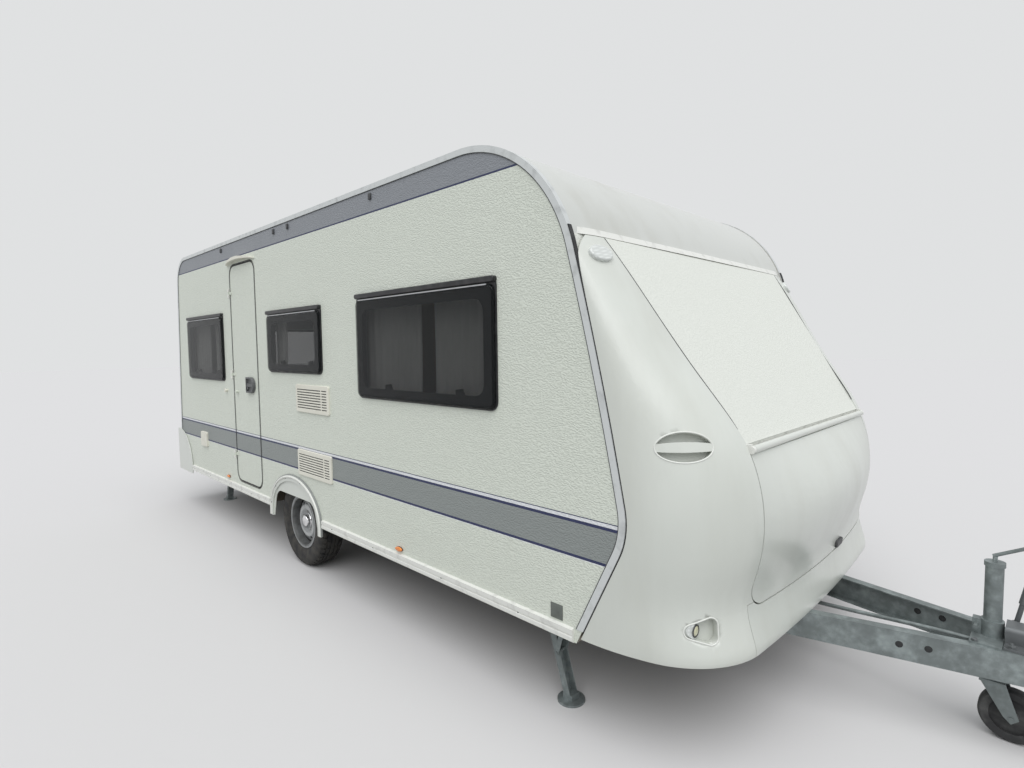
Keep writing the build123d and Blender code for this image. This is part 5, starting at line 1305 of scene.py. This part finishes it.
@dataclass
class Windows:
    """Printed borders, strips, ribs and catches of the side windows."""

    rail: float = 0.028
    margin: float = 0.021
    margin_corner: float = 0.026
    border: float = 0.074
    bottom: float = 0.064
    top: float = 0.096
    corner: float = 0.060
    print_out: float = 0.0190
    print_t: float = 0.0008
    strip_out: Flat = (0.020, 0.0262)
    strip_in: float = 0.045
    strip_h: float = 0.0065
    rib_out: float = 0.0242
    rib_in: float = 0.030
    rib_r: float = 0.0017
    rib_drops: tuple[float, ...] = (0.0085, 0.0140, 0.0195)
    catches: Flat = (0.24, 0.76)
    catch_y: Flat = (-0.028, -0.006)

    def build(self) -> None:
        """Dresses every side window."""
        prints, strips, ribs, catches = Form(), Form(), Form(), Form()
        for window in SIDE_WINDOWS:
            (left, low), (right, high) = window.corners
            out = window.side.value
            prints.ring(
                (left + self.margin, low + self.margin), (right - self.margin, high - self.rail - self.margin),
                self.margin_corner, (left + self.border, low + self.bottom), (right - self.border, high - self.top),
                self.corner, out * (HALF_W + self.print_out), -out * self.print_t,
            )
            near, far = sorted(out * (HALF_W + step) for step in self.strip_out)
            top = high - self.rail - self.strip_h
            strips.block(
                (left + self.strip_in, near, top - self.strip_h), (right - self.strip_in, far, top), 0.0015
            )
            rib_y, rib_ends = out * (HALF_W + self.rib_out), (left + self.rib_in, right - self.rib_in)
            for drop in self.rib_drops:
                ribs.rod(*((x, rib_y, high - drop) for x in rib_ends), self.rib_r, sides=10)
            for share in self.catches:
                self.catch(catches, left + share * (right - left), low + self.bottom, out)
        prints.piece("pane_prints", Paint.PRINT)
        strips.piece("pane_strips", Paint.ALLOY)
        ribs.piece("hinge_rail_ribs", Paint.DARK)
        catches.piece("window_catches", Paint.PRINT)

    def catch(self, form: Form, x: float, z: float, out: int) -> None:
        """Adds one catch with its lever, inside the pane's lower edge.

        Args:
            form: The form that it is added to.
            x: Its middle along the window.
            z: Height of the printed border's edge.
            out: Sign of Y on this side.
        """
        near, far = sorted(out * (HALF_W + step) for step in self.catch_y)
        middle = (near + far) / 2
        form.block((x - 0.026, near, z - 0.030), (x + 0.026, far, z + 0.012), 0.006, 3)
        form.rod((x - 0.030, middle, z + 0.014), (x + 0.022, middle, z + 0.020), 0.007, sides=16, round_by=0.002)


@dataclass
class WallTrim:
    """Seals, screws, brackets and plates of the side walls."""

    doors: tuple[tuple[str, Opening, float, float], ...] = (
        ("entrance_door", Opening(Side.RIGHT, 1580, 2115, 470, 2296), 0.090, 0.008),
        ("service_door", Opening(Side.LEFT, 2250, 2650, 760, 1120), 0.025, 0.006),
    )
    seal: float = 0.0045
    seal_back: float = 0.020
    seal_t: float = 0.016
    wall_lip: float = 0.005
    leaf_lip: float = 0.006
    lip_t: float = 0.0012
    vents: tuple[Opening, ...] = (
        Opening(Side.RIGHT, 2793, 3262, 1153, 1344), Opening(Side.RIGHT, 2786, 3270, 703, 887),
    )
    vent_rim: int = 24
    vent_split: tuple[int, int] = (104, 90)
    louvre_count: int = 8
    slot_out: Flat = (0.0118, 0.004)
    slot_z: Flat = (-0.0052, 0.0004)
    sealant: float = 0.0035
    brackets: tuple[int, ...] = (1415, 2504, 2738, 3813)
    bracket_half: float = 0.012
    bracket_out: float = 0.011
    bracket_z: Flat = (2.425, 2.462)
    plate: Opening = Opening(Side.RIGHT, 5136, 5201, 446, 510)
    marker_places: tuple[Flat, ...] = ((at(4020), 0.462), (at(1373), 0.471))
    arch_half: float = 0.408
    arch_high: float = 0.300
    wall_low: float = 0.375
    arch_foot: float = 0.319
    screw_in: float = 0.022
    screw_out: Flat = (0.014, 0.009)
    screw: tuple[float, float, float, float] = (-0.001, 0.0030, 0.0055, 0.0035)
    sill_z: float = 0.404
    arch_screws: tuple[int, ...] = (8, 40, 72, 108, 140, 172)
    sill_screws: tuple[int, ...] = (430, 900, 1400, 1900, 3250, 3750, 4400, 4950)

    def build(self) -> None:
        """Makes all of them."""
        self.seals()
        self.louvres()
        self.lines()
        self.clips()
        self.markers()
        self.screws()
        self.arch_beads()

    def seals(self) -> None:
        """Rubber seals in the gaps round both doors, with a lip on the wall and one on each door."""
        fixed = Form()
        for body, opening, corner, gap in self.doors:
            (low, high), out = opening.corners, opening.side.value
            face, lip = out * HALF_W, out * self.lip_t
            self.band(fixed, low, high, corner, self.seal, 0.0, face - out * self.seal_back, out * self.seal_t)
            self.band(fixed, low, high, corner, 0.0, self.wall_lip, face, lip)
            leaf = Form()
            leaf_low, leaf_high = (low[0] + gap, low[1] + gap), (high[0] - gap, high[1] - gap)
            self.band(leaf, leaf_low, leaf_high, corner - gap, self.leaf_lip, 0.0, face, lip)
            leaf.piece(f"{body}_lip", Paint.SEALANT, body)
        fixed.piece("door_seals", Paint.SEALANT)

    @staticmethod
    def band(
        form: Form, low: Flat, high: Flat, corner: float, inwards: float, outwards: float, y: float, thick: float
    ) -> None:
        """Adds a band along a rounded rectangle.

        Args:
            form: The form that it is added to.
            low: Lowest X and Z of the rectangle.
            high: Highest X and Z of the rectangle.
            corner: Radius of its corners.
            inwards: How far the band reaches into the rectangle.
            outwards: How far it reaches out of it.
            y: Where its first face lies.
            thick: Its thickness along Y, with a sign.
        """
        form.ring(
            (low[0] - outwards, low[1] - outwards), (high[0] + outwards, high[1] + outwards), corner + outwards,
            (low[0] + inwards, low[1] + inwards), (high[0] - inwards, high[1] - inwards), corner - inwards, y, thick,
        )

    def louvres(self) -> None:
        """Dark strips of painted shade in the slots under the louvres of the wall vents."""
        form = Form()
        rim, (before, after) = self.vent_rim, self.vent_split
        for vent in self.vents:
            pitch = (vent.high - vent.low - 2 * rim) / self.louvre_count
            for index in range(self.louvre_count):
                top = (vent.low + rim + index * pitch + 2 * pitch / 3) / 1000
                for start, end in ((vent.rear + rim, vent.front - before), (vent.front - after, vent.front - rim)):
                    form.block(
                        (at(start) + 0.001, -HALF_W - self.slot_out[0], top + self.slot_z[0]),
                        (at(end) - 0.001, -HALF_W - self.slot_out[1], top + self.slot_z[1]),
                    )
        form.piece("vent_slots", Paint.RUBBER_AND_SHADE)

    def lines(self) -> None:
        """Dark sealant along the inner edge of the rails that frame the side walls."""
        bm = merged("edge_rails")
        middle = Vector((at(2650), 0.0, 1.45))
        doomed = []
        for face in bm.faces:
            inward = middle - face.calc_center_median()
            reach = [abs(v.co.y) for v in face.verts]
            edge = abs(face.normal.y) <= 0.1 and face.normal.dot(inward) >= 0.2
            if not edge or min(reach) <= HALF_W - 0.0005 or max(reach) - min(reach) > 0.006:
                doomed.append(face)
        bmesh.ops.delete(bm, geom=doomed, context="FACES")
        made = bmesh.ops.extrude_face_region(bm, geom=bm.faces[:])["geom"]
        moved = [g for g in made if isinstance(g, bmesh.types.BMVert)]
        bm.normal_update()
        shift = {}
        for vert in moved:
            beside = (f.normal for f in vert.link_faces if abs(f.normal.y) < 0.1)
            shift[vert] = sum(beside, Vector()).normalized() * self.sealant
        for vert, move in shift.items():
            vert.co += move
        Form(bm).piece("rail_sealant", Paint.SEALANT)

    def clips(self) -> None:
        """Small brackets under the roof's edge, and the bare plate low on the right wall."""
        form, plates = Form(), Form()
        for x in self.brackets:
            low = (at(x) - self.bracket_half, -HALF_W - self.bracket_out, self.bracket_z[0])
            form.block(low, (at(x) + self.bracket_half, -HALF_W, self.bracket_z[1]), 0.004, 3)
        form.piece("roof_brackets", Paint.DARK)
        (x0, z0), (x1, z1) = self.plate.corners
        plates.block((x0, -HALF_W - 0.003, z0), (x1, -HALF_W, z1), 0.001)
        plates.piece("bare_plate", Paint.PLATE)

    def markers(self) -> None:
        """Oval amber lamps on a thin foot."""
        lenses, feet = Form(), Form()
        for x, z in self.marker_places:
            for out in (-1, 1):
                for form, half_x, half_z, thick, near in (
                    (lenses, 0.030, 0.0125, 0.0135, 0.0025), (feet, 0.032, 0.0130, 0.0030, 0.0),
                ):
                    form.oval((x, out * (HALF_W + near + thick / 2), z), half_x, half_z, thick, thick * 0.4)
        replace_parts(lenses.piece("side_marker_lenses", Paint.AMBER), "marker_lamps")
        feet.piece("side_marker_feet", Paint.DARK)

    def screws(self) -> None:
        """Dome-headed screws on the arch rims and the sill trims."""
        form = Form()
        half, high = self.arch_half - self.screw_in, self.arch_high - self.screw_in
        arch_y, sill_y = (HALF_W + out for out in self.screw_out)
        turns = [math.radians(angle) for angle in self.arch_screws]
        places = [(AXLE[0] + half * math.cos(a), arch_y, self.wall_low + high * math.sin(a)) for a in turns]
        places += [(at(x), sill_y, self.sill_z) for x in self.sill_screws]
        foot, head, foot_r, head_r = self.screw
        for x, y, z in places:
            for out in (-1, 1):
                form.rod((x, out * (y + foot), z), (x, out * (y + head), z), foot_r, head_r, sides=14)
        form.piece("trim_screws", Paint.CAST)

    def arch_beads(self) -> None:
        """White bead on the rim of each wheel arch, and a grey band round its edge."""
        # The second row lays a grey band along the side return of each arch's rim.
        rows = (
            ("arch_beads", Paint.TRIM, ((0.012, 0.0100, 0.0115),)),
            ("arch_gaskets", Paint.GREY, ((-0.0030, 0.0045, 0.0030), (-0.0022, 0.0045, 0.0085))),
        )
        turns = [math.pi * index / 28 for index in range(29)]
        for name, finish, beads in rows:
            form = Form()
            for inset, radius, out in beads:
                half, high, y = self.arch_half - inset, self.arch_high - inset, -HALF_W - out
                bow = [(AXLE[0] + half * math.cos(t), y, self.wall_low + high * math.sin(t)) for t in turns]
                feet = [(AXLE[0] + step, y, self.arch_foot) for step in (half, -half)]
                form.tube([feet[0], *bow, feet[1]], radius)
            form.mirrored()
            form.piece(name, finish, smooth=60.0)


@dataclass
class NoseTrim:
    """Rims of the pockets, bezels of the lamps and seams of the front panel."""

    grab: tuple[Point, Point, Point] = ((2.1578, -1.0450, 1.2170), (0.7030, 0.7112, 0.0), (0.6882, -0.6802, 0.2525))
    grab_half: Flat = (0.1075, 0.0565)
    recess: tuple[Point, Point, Point] = ((2.2083, -0.9950, 0.5310), (0.6489, 0.7609, 0.0), (0.7517, -0.6410, 0.1550))
    bends: tuple[Point, ...] = ((0.030, 0.019, 0.0305), (0.030, -0.019, 0.0305), (-0.044, 0.0, 0.0265))
    lamp_face: Point = (2.1843, -1.0070, 0.5310)
    bezel: tuple[float, float, float] = (0.0215, 0.0020, 0.0028)
    glass: tuple[Flat, ...] = (
        (0.0, 0.0), (0.0190, 0.0), (0.0188, 0.0022), (0.0150, 0.0048), (0.0080, 0.0062), (0.0, 0.0066),
    )
    bead: float = 0.0034
    bead_sunk: float = 0.0010
    pitch: float = 0.012
    seam: tuple[float, float, float, float] = (0.778, 1.193, 0.20025, 0.0015)
    seam_ends: Flat = (1.172, 2.030)
    seam_steps: int = 14
    seam_from: float = 2.0
    seam_reach: float = 0.6
    seam_off: float = 0.008
    seam_sunk: float = 0.0004
    seam_r: float = 0.0024

    def build(self) -> None:
        """Makes them on the right corner, and mirrors them to the left one."""
        bm = bmesh.new()
        bm.from_mesh(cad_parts["nose_corner_right"].data)
        self.nose = BVHTree.FromBMesh(bm)
        bm.free()
        self.rims()
        self.bezels()
        self.seams()

    def on_nose(self, place: Vector, out: Vector, reach: float = 0.08) -> Vector:
        """Point of the nose's outer face under or over a place.

        Args:
            place: The place.
            out: Direction out of the nose.
            reach: How far out the search starts.

        Returns:
            The point, or the place itself where the nose is missed.
        """
        return self.nose.ray_cast(place + out * reach, -out, 3 * reach)[0] or place

    def rims(self) -> None:
        """Rounded rims of the grab handle's cup and of the lamp's recess."""
        form = Form()
        ways = [(math.cos(2 * math.pi * k / 40), math.sin(2 * math.pi * k / 40)) for k in range(40)]
        self.rim(form, self.grab, [(self.grab_half[0] * x, self.grab_half[1] * y) for x, y in ways])
        outline = []
        for way in ways:
            x, y, r = max(self.bends, key=lambda bend: bend[0] * way[0] + bend[1] * way[1] + bend[2])
            outline.append((x + r * way[0], y + r * way[1]))
        full = []
        for (x0, y0), (x1, y1) in zip(outline, outline[1:] + outline[:1]):
            steps = max(1, round(math.hypot(x1 - x0, y1 - y0) / self.pitch))
            full += [(x0 + (x1 - x0) * k / steps, y0 + (y1 - y0) * k / steps) for k in range(steps)]
        self.rim(form, self.recess, full)
        form.mirrored()
        form.piece("pocket_rims", Paint.NOSE_RIM, smooth=60.0)

    def rim(self, form: Form, plane: tuple[Point, Point, Point], outline: Sequence[Flat]) -> None:
        """Adds a bead round an opening of the nose.

        Args:
            form: The form that it is added to.
            plane: Middle of the opening, direction of its first axis and direction out of the nose.
            outline: Places on that plane.
        """
        middle, along, out = (Vector(v) for v in plane)
        up = out.cross(along)
        places = [self.on_nose(middle + along * x + up * y, out) for x, y in outline]
        form.tube([tuple(p - out * self.bead_sunk) for p in places], self.bead, closed=True, fine=2)

    def bezels(self) -> None:
        """Ring and glass of the round lamp in each recess."""
        radius, depth, wire = self.bezel
        ring = [(radius + wire * math.cos(t), depth + wire * math.sin(t)) for t in (k * math.pi / 5 for k in range(11))]
        for name, finish, profile, smooth in (
            ("lamp_bezels", Paint.DARK, ring, 35.0), ("lamp_glasses", Paint.LAMP, self.glass, 50.0),
        ):
            form = Form()
            form.lathe(profile, self.lamp_face, (1, 0, 0), 40)
            form.mirrored()
            form.piece(name, finish, smooth=smooth)

    def seams(self) -> None:
        """Dark sealant in the seams between the front panel and the nose's corners."""
        half, start, slope, back = self.seam
        low, high = self.seam_ends
        form = Form()
        route = []
        for index in range(self.seam_steps + 1):
            z = low + (high - low) * index / self.seam_steps
            y = -(half + (z - start) * slope - back)
            start_at = Vector((self.seam_from, y - self.seam_off, z))
            x = self.on_nose(start_at, Vector((1.0, 0.0, 0.0)), self.seam_reach).x
            route.append((x - self.seam_sunk, y, z))
        form.tube(route, self.seam_r, fine=2)
        form.mirrored()
        form.piece("panel_seams", Paint.SEALANT, smooth=60.0)


@dataclass
class RearTrim:
    """Lens clusters of the rear skirt."""

    face: float = -3.5898
    base: float = -3.5762
    lens_t: float = 0.0075
    margin: float = 0.003
    low: float = 0.560
    high: float = 0.700
    edges: tuple[float, ...] = (0.860, 0.935, 1.014, 1.090)
    screw_in: float = 0.022

    def build(self) -> None:
        """Makes both clusters, each with a clear, a red and an amber lens on a dark foot."""
        foot, screws = Form(), Form()
        foot.block((self.face + 0.006, -self.edges[-1], self.low), (self.base, -self.edges[0], self.high), 0.0030)
        for name, finish, start, end in zip(
            ("reversing", "tail", "turn"), (Paint.CLEAR, Paint.RED, Paint.AMBER), self.edges, self.edges[1:]
        ):
            lens = Form()
            lens.block(
                (self.face, -end + self.margin, self.low + 0.004),
                (self.face + self.lens_t, -start - self.margin, self.high - 0.004), 0.0035, 3,
            )
            lens.mirrored()
            piece = lens.piece(f"{name}_lenses", finish)
            if finish is Paint.RED:
                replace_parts(piece, "rear_lamps")
        for y in self.edges[1:-1]:
            for z in (self.low + self.screw_in, self.high - self.screw_in):
                screws.rod((self.face + 0.0002, -y, z), (self.face + 0.008, -y, z), 0.0042, sides=14, round_by=0.0006)
        foot.mirrored()
        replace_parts(foot.piece("rear_lamp_feet", Paint.DARK), "rear_lamps")
        screws.mirrored()
        screws.piece("rear_lamp_screws", Paint.CAST)


@dataclass
class Drawbar:
    """Ribbed gaiter, brake rod, bolts and dark discs of painted shade in the holes of the drawbar's beams."""

    gaiter: Flat = (at(6790), at(6915))
    gaiter_r: float = 0.042
    height: float = 0.425
    ribs: int = 11
    beam_top: float = 0.400
    plate_t: float = 0.010
    base_bolts: tuple[Flat, ...] = tuple((at(x), y) for x in (6545, 6600) for y in (-0.090, 0.090))
    clamp_bolts: tuple[Flat, ...] = tuple((at(6480) - 0.045, y) for y in (-0.105, 0.105))
    clamp_t: float = 0.008
    # Low and high end, both radii, sides and rounding of a washer, nut and thread, and of a low head.
    base_bolt: tuple[tuple[float, float, float, float, int, float], ...] = (
        (0.0, 0.003, 0.016, 0.016, 24, 0.0), (0.003, 0.013, 0.0125, 0.0125, 6, 0.001),
        (0.013, 0.019, 0.007, 0.006, 16, 0.0),
    )
    clamp_bolt: tuple[tuple[float, float, float, float, int, float], ...] = ((0.0, 0.009, 0.011, 0.011, 6, 0.001),)
    rod_r: float = 0.009
    route: tuple[Point, ...] = (
        (at(6560), -0.055, 0.3895), (at(6450), -0.055, 0.3895), (at(6340), -0.053, 0.3885), (at(6200), -0.030, 0.372),
        (at(5900), 0.0, 0.340), (at(5500), 0.0, 0.330), (at(5100), 0.0, 0.330), (at(4600), 0.0, 0.330),
    )
    holes: tuple[Point, ...] = ((at(6205), 0.2025, 0.345), (at(6300), 0.1795, 0.350))
    hole_r: float = 0.0137
    hole_y: Flat = (-0.0065, 0.0010)
    beam_out: Flat = (0.2357, 0.9718)

    def build(self) -> None:
        """Makes all of them."""
        self.bellows()
        self.bolts()
        form = Form()
        form.tube(self.route, self.rod_r, fine=8)
        form.piece("brake_rod", Paint.ZINC, smooth=60.0)
        self.hole_shades()

    def bellows(self) -> None:
        """Ribbed rubber gaiter over the coupling's shaft."""
        x0, x1 = self.gaiter
        pitch = (x1 - x0) / self.ribs
        valley, crest, cuff = self.gaiter_r + 0.001, self.gaiter_r + 0.0055, self.gaiter_r - 0.004
        profile = [(cuff, 0.0)]
        for index in range(self.ribs):
            profile += [(r, (index + share) * pitch) for r, share in ((valley, 0.1), (crest, 0.5), (valley, 0.9))]
        profile.append((cuff, x1 - x0))
        form = Form()
        form.lathe(profile, (x0, 0.0, self.height), (1, 0, 0), 40)
        form.piece("shaft_gaiter", Paint.RUBBER_AND_SHADE, smooth=40.0)

    def bolts(self) -> None:
        """Hexagon bolts on the coupling's base and on the jockey clamp."""
        form = Form()
        for places, parts, plate in (
            (self.base_bolts, self.base_bolt, self.plate_t), (self.clamp_bolts, self.clamp_bolt, self.clamp_t),
        ):
            z = self.beam_top + plate
            for x, y in places:
                for low, high, near, far, sides, soft in parts:
                    form.rod((x, y, z + low), (x, y, z + high), near, far, sides=sides, round_by=soft)
        form.piece("drawbar_bolts", Paint.CAST)

    def hole_shades(self) -> None:
        """Dark discs of painted shade in the holes of the beams' webs."""
        form = Form()
        # Painted shade: each hole, which looks through to the shaded ground, is closed with a dark disc.
        for x, y, z in self.holes:
            for out in (-1, 1):
                way, face = Vector((self.beam_out[0], out * self.beam_out[1], 0.0)), Vector((x, out * y, z))
                form.rod(*(face + way * step for step in self.hole_y), self.hole_r, sides=20, round_by=0.0008)
        form.piece("web_grommets", Paint.RUBBER_AND_SHADE)


def main() -> None:
    """Builds the scene, class by class."""
    logging.basicConfig(level=logging.INFO, format="%(name)s: %(message)s")
    assemblies = [
        Studio(), Shell(), RoadWheel(Side.RIGHT), RoadWheel(Side.LEFT), Windows(), WallTrim(), NoseTrim(),
        RearTrim(), Drawbar(), Interior(),
    ]
    for assembly in assemblies:
        LOG.info("building %s", type(assembly).__name__)
        assembly.build()


if __name__ == "__main__":
    main()
